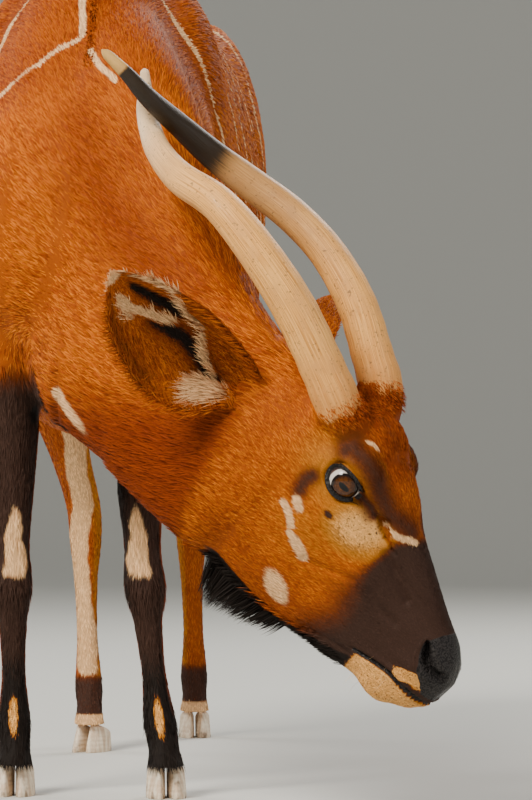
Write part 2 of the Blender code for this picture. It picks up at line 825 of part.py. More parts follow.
def eye_frame(side):
    a, u, l = EYE_PLACE
    centre = head_point(a, u, side * l)
    ga, gu, gl = EYE_GAZE
    gaze = (HEAD_A * ga + HEAD_U * gu + HEAD_L * (gl * side)).normalized()
    long = (HEAD_A - gaze * HEAD_A.dot(gaze)).normalized()
    return centre, long, gaze.cross(long) * side, gaze


def ball(name, centre, radius, finish, segments, rings):
    bm = bmesh.new()
    bmesh.ops.create_uvsphere(bm, u_segments=segments, v_segments=rings, radius=radius)
    for v in bm.verts:
        v.co += centre
    return add_object(name, bm, finish)


def lid_ring(side):
    """The rim of the lids, a rounded bead that lies on the eyeball."""
    centre, long, up, gaze = eye_frame(side)
    bm = bmesh.new()
    rings = []
    for i in range(LID_STEPS):
        angle = 2 * math.pi * i / LID_STEPS
        x = LID_HALF_LENGTH * math.cos(angle)
        y = math.sin(angle) * (LID_UPPER if math.sin(angle) > 0 else LID_LOWER)
        forward = math.sqrt(max(EYE_RADIUS**2 * 1.06 - x * x - y * y, 0.0))
        middle = centre + long * x + up * y + gaze * forward
        outward = (long * math.cos(angle) + up * math.sin(angle)).normalized()
        normal = (middle - centre).normalized()
        ring = []
        for k in range(LID_SIDES):
            turn = 2 * math.pi * k / LID_SIDES
            offset = outward * (math.cos(turn) * 1.5 + 0.9) + normal * math.sin(turn)
            ring.append(bm.verts.new(middle + offset * LID_THICKNESS))
        rings.append(ring)
    for i in range(LID_STEPS):
        low, high = rings[i], rings[(i + 1) % LID_STEPS]
        for k in range(LID_SIDES):
            n = (k + 1) % LID_SIDES
            bm.faces.new((low[k], low[n], high[n], high[k]))
    return add_object("lids", bm, "coat")


def add_eyes(nodes):
    head = nodes["head"]
    for name, side in (("eye_left", 1), ("eye_right", -1)):
        lids = lid_ring(side)
        boolean(head, lids, "UNION")
        bpy.data.objects.remove(lids)
        centre = eye_frame(side)[0]
        room = ball("room", centre, EYE_RADIUS + GAP, "eye", 24, 14)
        boolean(head, room, "DIFFERENCE")
        bpy.data.objects.remove(room)
        nodes[name] = ball(name, centre, EYE_RADIUS, "eye", 16, 10)
    largest_shell(head)


# Mouth: A and U of the line between the lips, from its corner to the front
MOUTH_LINE = [(0.155, -0.157), (0.188, -0.143), (0.215, -0.134), (0.245, -0.132), (0.270, -0.131)]
MOUTH_DEPTH = 0.008
MOUTH_OPENING = 0.0022
NOSTRIL = [
    (0.212, -0.058, 0.046, 0.0030),
    (0.222, -0.070, 0.044, 0.0060),
    (0.233, -0.081, 0.041, 0.0085),
    (0.245, -0.084, 0.036, 0.0085),
    (0.256, -0.080, 0.031, 0.0050),
]
NOSTRIL_SIDES = 8


def head_half_width(a, u):
    """Half width of the head's own loft at a place in its frame."""
    rows = np.array(HEAD)
    top, bottom, wide, half, q = [np.interp(a, rows[:, 0], rows[:, k]) for k in range(1, 6)]
    share = (u - wide) / ((top if u > wide else bottom) - wide)
    return half * max(0.0, 1 - min(1.0, abs(share)) ** q) ** (1 / q)


def mouth_cutter():
    """A thin wedge that runs round the muzzle between the lips."""
    line = curve_points(MOUTH_LINE, 4)
    left = [(a, u, max(0.004, head_half_width(a, u))) for a, u in line]
    path = left + [(a, u, -l) for a, u, l in reversed(left)]
    bm = bmesh.new()
    rows = []
    for i, (a, u, l) in enumerate(path):
        before, after = path[max(i - 1, 0)], path[min(i + 1, len(path) - 1)]
        slope = Vector((after[0] - before[0], after[2] - before[2], 0)).normalized()
        out = Vector((-slope.y, slope.x, 0)) * -1
        if out.x * 0.3 + out.y * l < 0:
            out = -out
        deep = MOUTH_DEPTH * min(1.0, 0.15 + 0.25 * min(i, len(path) - 1 - i))
        row = []
        for reach, lift in ((-deep, 0.0), (0.012, MOUTH_OPENING), (0.012, -MOUTH_OPENING)):
            place = head_point(a + out.x * reach, u + lift, l + out.y * reach)
            row.append(bm.verts.new(place))
        rows.append(row)
    for low, high in zip(rows, rows[1:]):
        for k in range(3):
            n = (k + 1) % 3
            bm.faces.new((low[k], low[n], high[n], high[k]))
    bm.faces.new(rows[0])
    bm.faces.new(rows[-1])
    return add_object("mouth", bm, "coat")


def add_mouth(nodes):
    head = nodes["head"]
    cutter = mouth_cutter()
    boolean(head, cutter, "DIFFERENCE")
    bpy.data.objects.remove(cutter)
    for side in (1, -1):
        rows = curve_points(NOSTRIL, 2)

        def profile(i, angle, rows=rows):
            return rows[i][3] * math.cos(angle), rows[i][3] * math.sin(angle)

        bm = bmesh.new()
        swept(bm, [head_point(a, u, side * l) for a, u, l, r in rows], NOSTRIL_SIDES, profile)
        hole = add_object("hole", bm, "coat")
        boolean(head, hole, "DIFFERENCE")
        bpy.data.objects.remove(hole)
    largest_shell(head)


# Long hair: flat tapered locks, sunk at the root
LOCK_LEVELS = 4
LOCK_SINK = 0.012
BEARD_FROM = -0.100
BEARD_TO = 0.050
CREST = {"count": 26, "start": 0.030, "end": 1.090, "length": 0.055, "width": 0.046, "turn": 1.57}
BEARD = {"count": 16, "length": 0.052, "width": 0.030, "turn": 1.2}
TUFT = {"count": 12, "length": 0.120, "width": 0.026, "turn": 0.0}


def lock(root, out, fall, length, width, twist):
    """One lock: it leaves along one direction and bends over to another."""
    side = out.cross(fall)
    if side.length < 1e-4:
        side = out.orthogonal()
    side = side.normalized()
    face = side.cross(out).normalized()
    wide = (side * math.cos(twist) + face * math.sin(twist)).normalized()
    bm = bmesh.new()
    rings = []
    place = root - out.normalized() * LOCK_SINK
    for level in range(LOCK_LEVELS):
        t = level / LOCK_LEVELS
        heading = (out.normalized() * (1 - t) + fall.normalized() * t).normalized()
        thin = wide.cross(heading).normalized()
        half = width / 2 * (1 - t**1.6) * (0.75 + 0.5 * t * (1 - t) * 2)
        ring = []
        for x, y in ((1, 0), (0, 0.42), (-1, 0), (0, -0.42)):
            ring.append(bm.verts.new(place + wide * (x * half) + thin * (y * half)))
        rings.append(ring)
        place = place + heading * ((length + LOCK_SINK) / LOCK_LEVELS)
    tip = bm.verts.new(place)
    for low, high in zip(rings, rings[1:]):
        for k in range(4):
            n = (k + 1) % 4
            bm.faces.new((low[k], low[n], high[n], high[k]))
    for k in range(4):
        bm.faces.new((rings[-1][k], rings[-1][(k + 1) % 4], tip))
    bm.faces.new(rings[0][::-1])
    return add_object("lock", bm, "coat")


def surface_hit(obj, start, direction):
    hit, place, normal, face = obj.ray_cast(start, direction)
    return (place, normal) if hit else (None, None)


def lock_on(bare, start, direction, fall, size, rng, lift=0.6):
    """A lock that grows where a ray meets the bare surface, or nothing where it meets none."""
    place, normal = surface_hit(bare, start, direction)
    if place is None:
        return []
    out = normal * lift + fall * (1 - lift)
    length = size["length"] * rng.uniform(0.82, 1.15)
    width = size["width"] * rng.uniform(0.85, 1.15)
    return [lock(place, out, fall, length, width, size["turn"] + rng.uniform(-0.35, 0.35))]


def crest_locks(torso, rng):
    """Along the spine from the withers to the rump."""
    made = []
    for i in range(CREST["count"]):
        t = (i + rng.uniform(-0.2, 0.2)) / (CREST["count"] - 1)
        y = CREST["start"] + t * (CREST["end"] - CREST["start"])
        x = spine_x(y) + rng.uniform(-0.008, 0.008)
        fall = Vector((rng.uniform(-0.25, 0.25), 0.9, 0.10)).normalized()
        made += lock_on(torso, Vector((x, y, 1.6)), Vector((0, 0, -1)), fall, CREST, rng)
    return made


def beard_locks(head, rng):
    """In three rows under the jaw."""
    made = []
    for i in range(BEARD["count"]):
        t = i / (BEARD["count"] - 1)
        a = BEARD_FROM + t * (BEARD_TO - BEARD_FROM)
        row = (i % 3 - 1) * 0.017
        fall = (HEAD_A * 0.10 - HEAD_U * 0.80 + HEAD_L * (row * 8)).normalized()
        own = dict(BEARD, length=BEARD["length"] * (1.0 - 0.5 * t))
        made += lock_on(head, head_point(a, -0.45, row), HEAD_U, fall, own, rng, 0.35)
    return made


def tuft_locks(tail, rng):
    """Round the end of the tail."""
    made = []
    for i in range(TUFT["count"]):
        direction = Vector((math.cos(2.4 * i), math.sin(2.4 * i), 0))
        start = Vector((0.044, 1.239, 0.700 - 0.012 * i)) + direction * 0.1
        fall = (direction * 0.12 + Vector((0, 0, -1))).normalized()
        made += lock_on(tail, start, -direction, fall, TUFT, rng, 0.15)
    return made


def add_locks(nodes):
    """Each node's locks join it in one union."""
    rng = random.Random(7)
    bpy.context.view_layer.update()
    growers = {"torso": crest_locks, "head": beard_locks, "tail": tuft_locks}
    for name, grower in growers.items():
        group = bpy.data.collections.new("locks")
        locks = grower(nodes[name], rng)
        for made in locks:
            group.objects.link(made)
        boolean(nodes[name], group, "UNION")
        for made in locks:
            bpy.data.objects.remove(made)
        bpy.data.collections.remove(group)
        largest_shell(nodes[name])


def trim_beard(nodes):
    """Keeps the beard's locks on their own side of the cut between head and neck."""
    for name, operation, lift in (("head", "INTERSECT", 0.5), ("neck", "DIFFERENCE", -0.5)):
        side = half_space("side", *HEAD_CUT, lift * GAP)
        boolean(nodes[name], side, operation)
        bpy.data.objects.remove(side)
        largest_shell(nodes[name])


def seat(node, base):
    """Cuts a node back where it would stand inside its neighbour."""
    room = fat_copy(base, GAP)
    boolean(node, room, "DIFFERENCE")
    bpy.data.objects.remove(room)
    largest_shell(node)


def paint(nodes):
    for name, obj in nodes.items():
        obj.name = name
        obj.data.materials.clear()
        obj.data.materials.append(material(name, obj["finish"]))


def centre_on_floor():
    """Puts the middle of the whole model's box over the origin and the lowest hoof on the floor."""
    points = [v.co for obj in bpy.data.objects for v in obj.data.vertices]
    low = Vector([min(p[k] for p in points) for k in range(3)])
    high = Vector([max(p[k] for p in points) for k in range(3)])
    shift = -(low + high) / 2
    shift.z = -low.z
    for obj in bpy.data.objects:
        obj.data.transform(Matrix.Translation(shift))


def main():
    clear_scene()
    nodes = part_flesh()
    add_hooves(nodes)
    add_eyes(nodes)
    add_mouth(nodes)
    for name in HORNS:
        nodes[name] = horn(name)
        seat(nodes[name], nodes["head"])
    for name in EARS:
        nodes[name] = ear(name)
        seat(nodes[name], nodes["head"])
        seat(nodes[name], nodes["neck"])
    add_locks(nodes)
    trim_beard(nodes)
    paint(nodes)
    centre_on_floor()


main()
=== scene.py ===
"""Looks of a bongo antelope, life size, grazing with its head turned to its left."""

import math

import bmesh
import bpy
import numpy as np
from mathutils import Matrix, Vector


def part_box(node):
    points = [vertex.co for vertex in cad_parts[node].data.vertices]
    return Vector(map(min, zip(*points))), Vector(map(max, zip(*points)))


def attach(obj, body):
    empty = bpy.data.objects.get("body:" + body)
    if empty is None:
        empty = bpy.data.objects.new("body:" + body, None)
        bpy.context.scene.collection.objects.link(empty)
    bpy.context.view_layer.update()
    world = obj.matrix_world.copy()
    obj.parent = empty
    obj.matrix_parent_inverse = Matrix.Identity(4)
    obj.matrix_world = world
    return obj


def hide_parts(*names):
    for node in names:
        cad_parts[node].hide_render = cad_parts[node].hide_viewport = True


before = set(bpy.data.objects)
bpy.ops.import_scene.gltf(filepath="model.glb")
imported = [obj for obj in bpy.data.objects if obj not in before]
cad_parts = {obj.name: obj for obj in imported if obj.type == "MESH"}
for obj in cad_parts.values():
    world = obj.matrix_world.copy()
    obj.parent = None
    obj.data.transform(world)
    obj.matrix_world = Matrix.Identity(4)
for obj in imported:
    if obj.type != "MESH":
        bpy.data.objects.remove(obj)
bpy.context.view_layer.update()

# The animal's place. Sizes below are in metres from a point on the floor between the front feet,
# with the body facing -Y and the animal's left at +X. The head has axes of its own:
# A runs to the nose, U out of the forehead and L to the animal's left, from midway between the eyes.
HEAD_ORIGIN = np.array([0.381, -0.400, 0.446])
HEAD_A = np.array([0.600, -0.185, -0.776])
HEAD_A /= np.linalg.norm(HEAD_A)
HEAD_L = np.array([0.420, 0.900, 0.110])
HEAD_L -= HEAD_A * HEAD_L.dot(HEAD_A)
HEAD_L /= np.linalg.norm(HEAD_L)
HEAD_U = np.cross(HEAD_A, HEAD_L)
EYE_PLACE = (-0.008, -0.008, 0.0605)


def unit(v):
    return v / np.maximum(np.linalg.norm(v, axis=-1, keepdims=True), 1e-9)


def head_point(a, u, l=0.0):
    return HEAD_ORIGIN + HEAD_A * a + HEAD_U * u + HEAD_L * l


def in_head(points):
    """A, U and L of points."""
    d = points - HEAD_ORIGIN
    return d @ HEAD_A, d @ HEAD_U, d @ HEAD_L


low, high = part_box("eye_left")
SHIFT = (np.array(low) + np.array(high)) / 2 - head_point(*EYE_PLACE)

# Camera: level with the animal's cheek, 5.8 m in front of the head, with a long lens.
# It looks straight at the animal and about half a degree upward, and blurs nothing.
CAMERA_PLACE = np.array([0.243, -6.2, 0.486])
CAMERA_PITCH = 90.575
CAMERA_LENS = 201.7
camera = bpy.data.objects.new("camera", bpy.data.cameras.new("camera"))
bpy.context.scene.collection.objects.link(camera)
camera.location = Vector(CAMERA_PLACE + SHIFT)
camera.rotation_euler = (math.radians(CAMERA_PITCH), 0, 0)
camera.data.lens = CAMERA_LENS
bpy.context.scene.camera = camera

# Studio: a pale matt floor that curves up into a backdrop far behind the animal.
# A large key lamp stands to the left of the camera, with weaker soft lamps on the other sides.
FLOOR_SIDE = 14
FLOOR_FRONT = -9.0
FLOOR_BEND = 9.0
SWEEP = 5.0
SWEEP_STEPS = 16
BACKDROP = 12.0


def link(obj):
    bpy.context.scene.collection.objects.link(obj)
    return obj


def material(name):
    made = bpy.data.materials.new(name)
    made.use_nodes = True
    return made, made.node_tree.nodes["Principled BSDF"]


def studio_floor():
    profile = [(FLOOR_FRONT, 0.0), (FLOOR_BEND, 0.0)]
    for k in range(1, SWEEP_STEPS + 1):
        angle = k / SWEEP_STEPS * math.pi / 2
        profile.append((FLOOR_BEND + SWEEP * math.sin(angle), SWEEP * (1 - math.cos(angle))))
    profile.append((FLOOR_BEND + SWEEP, BACKDROP))
    bm = bmesh.new()
    rows = [[bm.verts.new((x, y, z)) for x in (-FLOOR_SIDE, FLOOR_SIDE)] for y, z in profile]
    for near, far in zip(rows, rows[1:]):
        face = bm.faces.new((near[0], near[1], far[1], far[0]))
        face.smooth = True
    mesh = bpy.data.meshes.new("floor")
    bm.to_mesh(mesh)
    bm.free()
    floor = link(bpy.data.objects.new("floor", mesh))
    finish, shader = material("pale floor")
    shader.inputs["Base Color"].default_value = (0.62, 0.63, 0.60, 1)
    shader.inputs["Roughness"].default_value = 0.7
    mesh.materials.append(finish)
    return floor


floor = studio_floor()

world = bpy.data.worlds.new("studio")
bpy.context.scene.world = world
world.use_nodes = True
world.node_tree.nodes["Background"].inputs["Color"].default_value = (1.0, 0.97, 0.93, 1)
world.node_tree.nodes["Background"].inputs["Strength"].default_value = 0.30
LAMPS = [
    ("key", (-2.6, -4.2, 4.6), 2.0, 560, (1.0, 0.94, 0.84)),
    ("fill", (4.6, -3.2, 2.4), 3.0, 85, (1.0, 0.97, 0.93)),
    ("rim", (2.4, 4.6, 4.4), 2.4, 260, (1.0, 0.96, 0.9)),
    ("back fill", (-4.6, 3.4, 3.2), 3.0, 140, (1.0, 0.98, 0.95)),
]
for name, place, size, power, colour in LAMPS:
    lamp = bpy.data.lights.new(name, "AREA")
    lamp.size = size
    lamp.energy = power
    lamp.color = colour
    holder = link(bpy.data.objects.new(name, lamp))
    holder.location = Vector(place)
    aim = Vector((0.1, 0.0, 0.6)) - Vector(place)
    holder.rotation_euler = aim.to_track_quat("-Z", "Y").to_euler()

# Flesh: one skin for trunk, neck, head, legs, tail and ears, 1.2 m at the withers.
# It is lofted from measured sections, fused, refined on the head and carved there with its folds.
TORSO = [
    (-0.185, 0.86, 0.70, 0.045, 2.0),
    (-0.150, 0.93, 0.62, 0.095, 2.0),
    (-0.070, 1.035, 0.555, 0.140, 2.0),
    (0.030, 1.135, 0.525, 0.165, 2.0),
    (0.140, 1.20, 0.512, 0.178, 2.0),
    (0.300, 1.185, 0.50, 0.200, 2.2),
    (0.500, 1.168, 0.495, 0.214, 2.45),
    (0.680, 1.172, 0.515, 0.217, 2.45),
    (0.840, 1.186, 0.580, 0.201, 2.3),
    (0.980, 1.185, 0.655, 0.188, 2.2),
    (1.090, 1.135, 0.720, 0.150, 2.1),
    (1.165, 1.045, 0.790, 0.095, 2.0),
    (1.195, 0.980, 0.850, 0.045, 2.0),
]
WIDEST_AT = 0.44
SPINE_YAW = 0.036
NECK = [
    ((0.004, 0.090, 0.870), (0.02, 0.06, 0.290), 0.26, 0.125),
    ((0.022, -0.050, 0.775), (0.07, -0.10, 0.245), 0.245, 0.120),
    ((0.062, -0.155, 0.665), (0.105, -0.085, 0.185), 0.193, 0.104),
    ((0.120, -0.240, 0.575), (0.095, -0.060, 0.135), 0.157, 0.090),
    ((0.185, -0.305, 0.515), (0.080, -0.045, 0.118), 0.158, 0.080),
    ((0.245, -0.345, 0.478), (0.070, -0.035, 0.105), 0.164, 0.077),
    ((0.300, -0.372, 0.458), (0.062, -0.032, 0.085), 0.144, 0.072),
]
HEAD = [
    (-0.185, -0.005, -0.150, -0.075, 0.045, 2.0),
    (-0.150, 0.022, -0.218, -0.080, 0.066, 2.1),
    (-0.095, 0.040, -0.245, -0.055, 0.076, 2.2),
    (-0.040, 0.050, -0.246, -0.035, 0.078, 2.25),
    (0.010, 0.048, -0.240, -0.030, 0.077, 2.2),
    (0.055, 0.033, -0.229, -0.055, 0.066, 2.2),
    (0.100, 0.006, -0.215, -0.085, 0.055, 2.2),
    (0.150, -0.015, -0.201, -0.100, 0.046, 2.3),
    (0.200, -0.036, -0.187, -0.105, 0.042, 2.4),
    (0.238, -0.050, -0.176, -0.108, 0.041, 2.4),
    (0.262, -0.066, -0.160, -0.110, 0.034, 2.3),
    (0.277, -0.088, -0.134, -0.112, 0.018, 2.0),
]
LEGS = {
    "leg_front_left": [
        ((0.080, 0.110, 1.060), 0.050, 0.080),
        ((0.112, 0.060, 0.920), 0.062, 0.125),
        ((0.118, 0.010, 0.770), 0.062, 0.132),
        ((0.108, 0.030, 0.650), 0.056, 0.100),
        ((0.084, 0.035, 0.545), 0.046, 0.066),
        ((0.070, 0.020, 0.440), 0.036, 0.044),
        ((0.072, 0.006, 0.350), 0.028, 0.031),
        ((0.076, -0.006, 0.290), 0.031, 0.034),
        ((0.080, 0.000, 0.240), 0.0225, 0.026),
        ((0.088, 0.006, 0.170), 0.0190, 0.0235),
        ((0.096, 0.002, 0.105), 0.0250, 0.0290),
        ((0.102, -0.014, 0.070), 0.0240, 0.0250),
        ((0.105, -0.026, 0.040), 0.0290, 0.0340),
    ],
    "leg_front_right": [
        ((-0.078, 0.115, 1.060), 0.050, 0.080),
        ((-0.110, 0.065, 0.920), 0.062, 0.125),
        ((-0.118, 0.015, 0.770), 0.062, 0.132),
        ((-0.116, 0.035, 0.650), 0.056, 0.100),
        ((-0.114, 0.042, 0.545), 0.046, 0.066),
        ((-0.112, 0.036, 0.440), 0.036, 0.044),
        ((-0.111, 0.030, 0.350), 0.028, 0.031),
        ((-0.110, 0.024, 0.290), 0.031, 0.034),
        ((-0.109, 0.032, 0.240), 0.0225, 0.026),
        ((-0.108, 0.040, 0.170), 0.0190, 0.0235),
        ((-0.107, 0.038, 0.105), 0.0250, 0.0290),
        ((-0.106, 0.024, 0.070), 0.0240, 0.0250),
        ((-0.106, 0.012, 0.040), 0.0290, 0.0340),
    ],
    "leg_rear_left": [
        ((0.130, 0.990, 1.060), 0.055, 0.110),
        ((0.150, 0.985, 0.900), 0.070, 0.165),
        ((0.152, 0.965, 0.770), 0.066, 0.165),
        ((0.148, 0.980, 0.660), 0.058, 0.148),
        ((0.138, 1.035, 0.560), 0.046, 0.100),
        ((0.128, 1.112, 0.465), 0.034, 0.062),
        ((0.122, 1.178, 0.390), 0.030, 0.048),
        ((0.120, 1.205, 0.335), 0.028, 0.036),
        ((0.120, 1.228, 0.270), 0.0215, 0.028),
        ((0.122, 1.256, 0.180), 0.0190, 0.0255),
        ((0.123, 1.275, 0.105), 0.0245, 0.0290),
        ((0.124, 1.265, 0.070), 0.0230, 0.0250),
        ((0.124, 1.254, 0.040), 0.0280, 0.0330),
    ],
    "leg_rear_right": [
        ((-0.060, 0.960, 1.060), 0.055, 0.110),
        ((-0.090, 0.935, 0.900), 0.070, 0.165),
        ((-0.100, 0.890, 0.770), 0.066, 0.165),
        ((-0.104, 0.870, 0.660), 0.058, 0.145),
        ((-0.092, 0.888, 0.560), 0.046, 0.098),
        ((-0.068, 0.938, 0.465), 0.034, 0.060),
        ((-0.050, 0.985, 0.390), 0.030, 0.046),
        ((-0.046, 0.985, 0.335), 0.028, 0.036),
        ((-0.045, 0.975, 0.270), 0.0215, 0.028),
        ((-0.042, 0.955, 0.180), 0.0190, 0.0255),
        ((-0.039, 0.935, 0.105), 0.0245, 0.0290),
        ((-0.037, 0.915, 0.070), 0.0230, 0.0250),
        ((-0.037, 0.902, 0.040), 0.0280, 0.0330),
    ],
}
TAIL = [
    ((0.040, 1.130, 1.090), 0.030),
    ((0.042, 1.190, 1.060), 0.026),
    ((0.043, 1.226, 0.985), 0.021),
    ((0.044, 1.238, 0.880), 0.0165),
    ((0.044, 1.240, 0.724), 0.013),
    ((0.044, 1.238, 0.580), 0.008),
]
BODY_BULGES = [
    ((0.105, -0.050, 0.790), (0.070, 0.085, 0.150)),
    ((0.100, 0.190, 0.920), (0.090, 0.150, 0.230)),
    ((0.118, 0.095, 0.600), (0.036, 0.055, 0.070)),
    ((0.108, 1.000, 0.900), (0.105, 0.190, 0.270)),
    ((0.080, 0.930, 1.085), (0.070, 0.130, 0.075)),
]
HEAD_BULGES = [
    ((-0.010, 0.012, 0.050), (0.046, 0.032, 0.029)),
    ((-0.036, 0.030, 0.018), (0.054, 0.038, 0.036)),
    ((-0.045, -0.115, 0.042), (0.080, 0.080, 0.032)),
    ((0.045, -0.070, 0.040), (0.085, 0.028, 0.022)),
    ((0.236, -0.090, 0.024), (0.028, 0.024, 0.021)),
    ((0.222, -0.128, 0.022), (0.042, 0.020, 0.022)),
    ((0.205, -0.170, 0.006), (0.038, 0.022, 0.028)),
]
DEWCLAW_APART = 0.013
DEWCLAW_DROP = 0.014
DEWCLAW_RADII = (0.0085, 0.0105, 0.0150)
FETLOCK_ROW = 10
SPINE_BULGE = ((0.006, 0.230, 1.095), (0.050, 0.230, 0.103))
HORNS = {
    "horn_right": [
        (-0.060, 0.010, -0.026, 0.0200),
        (-0.080, 0.039, -0.048, 0.0315),
        (-0.145, 0.066, -0.064, 0.0305),
        (-0.220, 0.089, -0.078, 0.0290),
        (-0.302, 0.100, -0.088, 0.0260),
        (-0.383, 0.095, -0.081, 0.0230),
        (-0.450, 0.066, -0.055, 0.0212),
        (-0.505, 0.053, -0.024, 0.0185),
        (-0.539, 0.051, 0.002, 0.0155),
        (-0.574, 0.059, 0.022, 0.0120),
        (-0.597, 0.074, 0.029, 0.0080),
        (-0.617, 0.087, 0.031, 0.0060),
    ],
    "horn_left": [
        (-0.060, 0.006, 0.026, 0.0200),
        (-0.080, 0.056, 0.048, 0.0290),
        (-0.138, 0.084, 0.057, 0.0285),
        (-0.202, 0.106, 0.065, 0.0275),
        (-0.276, 0.113, 0.074, 0.0255),
        (-0.347, 0.106, 0.078, 0.0235),
        (-0.412, 0.091, 0.073, 0.0215),
        (-0.476, 0.080, 0.053, 0.0190),
        (-0.525, 0.082, 0.017, 0.0165),
        (-0.567, 0.088, -0.023, 0.0135),
        (-0.608, 0.090, -0.038, 0.0095),
        (-0.653, 0.086, -0.044, 0.0060),
    ],
}
PEDICLE_LENGTH = 0.051
PEDICLE_MARGIN = 0.0024
SKIN_VOXEL = 0.0055
HEAD_CUT = (np.array([0.232, -0.335, 0.492]), unit(np.array([0.66, -0.30, -0.50])))
X, Y, Z = np.eye(3)


def spline(rows, per_span):
    """Catmull-Rom rows between the given rows of numbers."""
    rows = np.array(rows, dtype=float)
    rows = np.vstack([2 * rows[0] - rows[1], rows, 2 * rows[-1] - rows[-2]])
    out = []
    for p0, p1, p2, p3 in zip(rows, rows[1:], rows[2:], rows[3:]):
        for t in np.arange(per_span) / per_span:
            bend = 2 * p0 - 5 * p1 + 4 * p2 - p3
            swing = 3 * p1 - p0 - 3 * p2 + p3
            out.append(0.5 * (2 * p1 + (p2 - p0) * t + bend * t**2 + swing * t**3))
    out.append(rows[-2])
    return np.array(out)


def loft(bm, sections, sides, per_span=5):
    """A closed tube through sections of centre, side, up, down and squareness."""
    rows = spline([[*c, *s, *u, *d, q] for c, s, u, d, q in sections], per_span)
    angles = np.arange(sides) / sides * 2 * math.pi
    rings = []
    for row in rows:
        c, s, u, d, q = row[0:3], row[3:6], row[6:9], row[9:12], row[12]
        ring = []
        for angle in angles:
            x = math.copysign(abs(math.cos(angle)) ** (2 / q), math.cos(angle))
            z = math.copysign(abs(math.sin(angle)) ** (2 / q), math.sin(angle))
            ring.append(bm.verts.new(c + s * x + (u if z > 0 else d) * abs(z)))
        rings.append(ring)
    for low_ring, high_ring in zip(rings, rings[1:]):
        for k in range(sides):
            n = (k + 1) % sides
            bm.faces.new((low_ring[k], low_ring[n], high_ring[n], high_ring[k]))
    bm.faces.new(rings[0][::-1])
    bm.faces.new(rings[-1])


def ball(bm, centre, axes, segments=24):
    made = bmesh.ops.create_uvsphere(bm, u_segments=segments, v_segments=segments // 2, radius=1)
    for v in made["verts"]:
        v.co = Vector(centre + axes[0] * v.co.x + axes[1] * v.co.y + axes[2] * v.co.z)


def trunk_sections():
    out = []
    for y, top, bottom, half, q in TORSO:
        z = bottom + WIDEST_AT * (top - bottom)
        out.append(((SPINE_YAW * y, y, z), X * half, Z * (top - z), Z * (bottom - z), q))
    return out


def neck_sections():
    out = []
    for i, (centre, nape, throat, half) in enumerate(NECK):
        before, after = NECK[max(i - 1, 0)][0], NECK[min(i + 1, len(NECK) - 1)][0]
        up = np.array(nape)
        side = unit(np.cross(np.array(after) - np.array(before), up)) * half
        out.append((centre, side, up, -unit(up) * throat, 2.1))
    return out


def head_sections():
    out = []
    for a, top, bottom, wide, half, q in HEAD:
        up, down = HEAD_U * (top - wide), HEAD_U * (bottom - wide)
        out.append((head_point(a, wide), HEAD_L * half, up, down, q))
    return out


def add_bulges(bm):
    for side in (1, -1):
        for (x, y, z), radii in BODY_BULGES:
            ball(bm, np.array([side * x + SPINE_YAW * y, y, z]), np.diag(radii))
        for (a, u, l), (ra, ru, rl) in HEAD_BULGES:
            ball(bm, head_point(a, u, side * l), (HEAD_A * ra, HEAD_U * ru, HEAD_L * rl))
    for rows in HORNS.values():
        root, after = [head_point(*row[:3]) for row in rows[1:3]]
        wide = rows[1][3] + PEDICLE_MARGIN
        along = unit(after - root)
        side = unit(np.cross(along, X))
        cross = np.cross(along, side)
        ball(bm, root, (along * PEDICLE_LENGTH, side * wide, cross * wide))
    for rows in LEGS.values():
        (x, y, z), wide, deep = rows[FETLOCK_ROW]
        for side in (1, -1):
            centre = np.array([x + side * DEWCLAW_APART, y + deep * 0.95, z - DEWCLAW_DROP])
            ball(bm, centre, np.diag(DEWCLAW_RADII), 14)
    ball(bm, np.array(SPINE_BULGE[0]), np.diag(SPINE_BULGE[1]))


def near_head(points):
    a, u, l = in_head(points)
    return (np.sqrt(a * a + u * u + l * l) < 0.27) & (a > -0.21)


def near_legs(points):
    x, y, z = points.T
    return (z < 0.60) & ~near_head(points) & ((y > 0.62) | (np.abs(x) > 0.035))


def coords(mesh):
    out = np.empty(len(mesh.vertices) * 3)
    mesh.vertices.foreach_get("co", out)
    return out.reshape(-1, 3)


def applied(obj):
    graph = bpy.context.evaluated_depsgraph_get()
    mesh = bpy.data.meshes.new_from_object(obj.evaluated_get(graph))
    obj.modifiers.clear()
    obj.data = mesh
    return mesh


def soften(obj, inside, steps):
    """Smooths one region of a mesh."""
    group = obj.vertex_groups.new(name="region")
    group.add(np.flatnonzero(inside(coords(obj.data))).tolist(), 1.0, "REPLACE")
    step = obj.modifiers.new("soften", "SMOOTH")
    step.factor = 0.5
    step.iterations = steps
    step.vertex_group = "region"
    mesh = applied(obj)
    obj.vertex_groups.clear()
    return mesh


def fused_flesh():
    bm = bmesh.new()
    loft(bm, trunk_sections(), 48)
    loft(bm, neck_sections(), 36)
    loft(bm, head_sections(), 44)
    for rows in LEGS.values():
        loft(bm, [(c, X * w, Y * d, -Y * d, 2.1) for c, w, d in rows], 24)
    loft(bm, [(c, X * r, Y * r, -Y * r, 2.0) for c, r in TAIL], 16)
    add_bulges(bm)
    bm.normal_update()
    bmesh.ops.recalc_face_normals(bm, faces=bm.faces)
    mesh = bpy.data.meshes.new("skin")
    bm.to_mesh(mesh)
    bm.free()
    obj = link(bpy.data.objects.new("skin", mesh))
    fuse = obj.modifiers.new("fuse", "REMESH")
    fuse.mode = "VOXEL"
    fuse.voxel_size = SKIN_VOXEL
    applied(obj)
    soften(obj, lambda p: np.ones(len(p), bool), 6)
    soften(obj, lambda p: ~near_head(p) & ~near_legs(p), 50)
    return obj


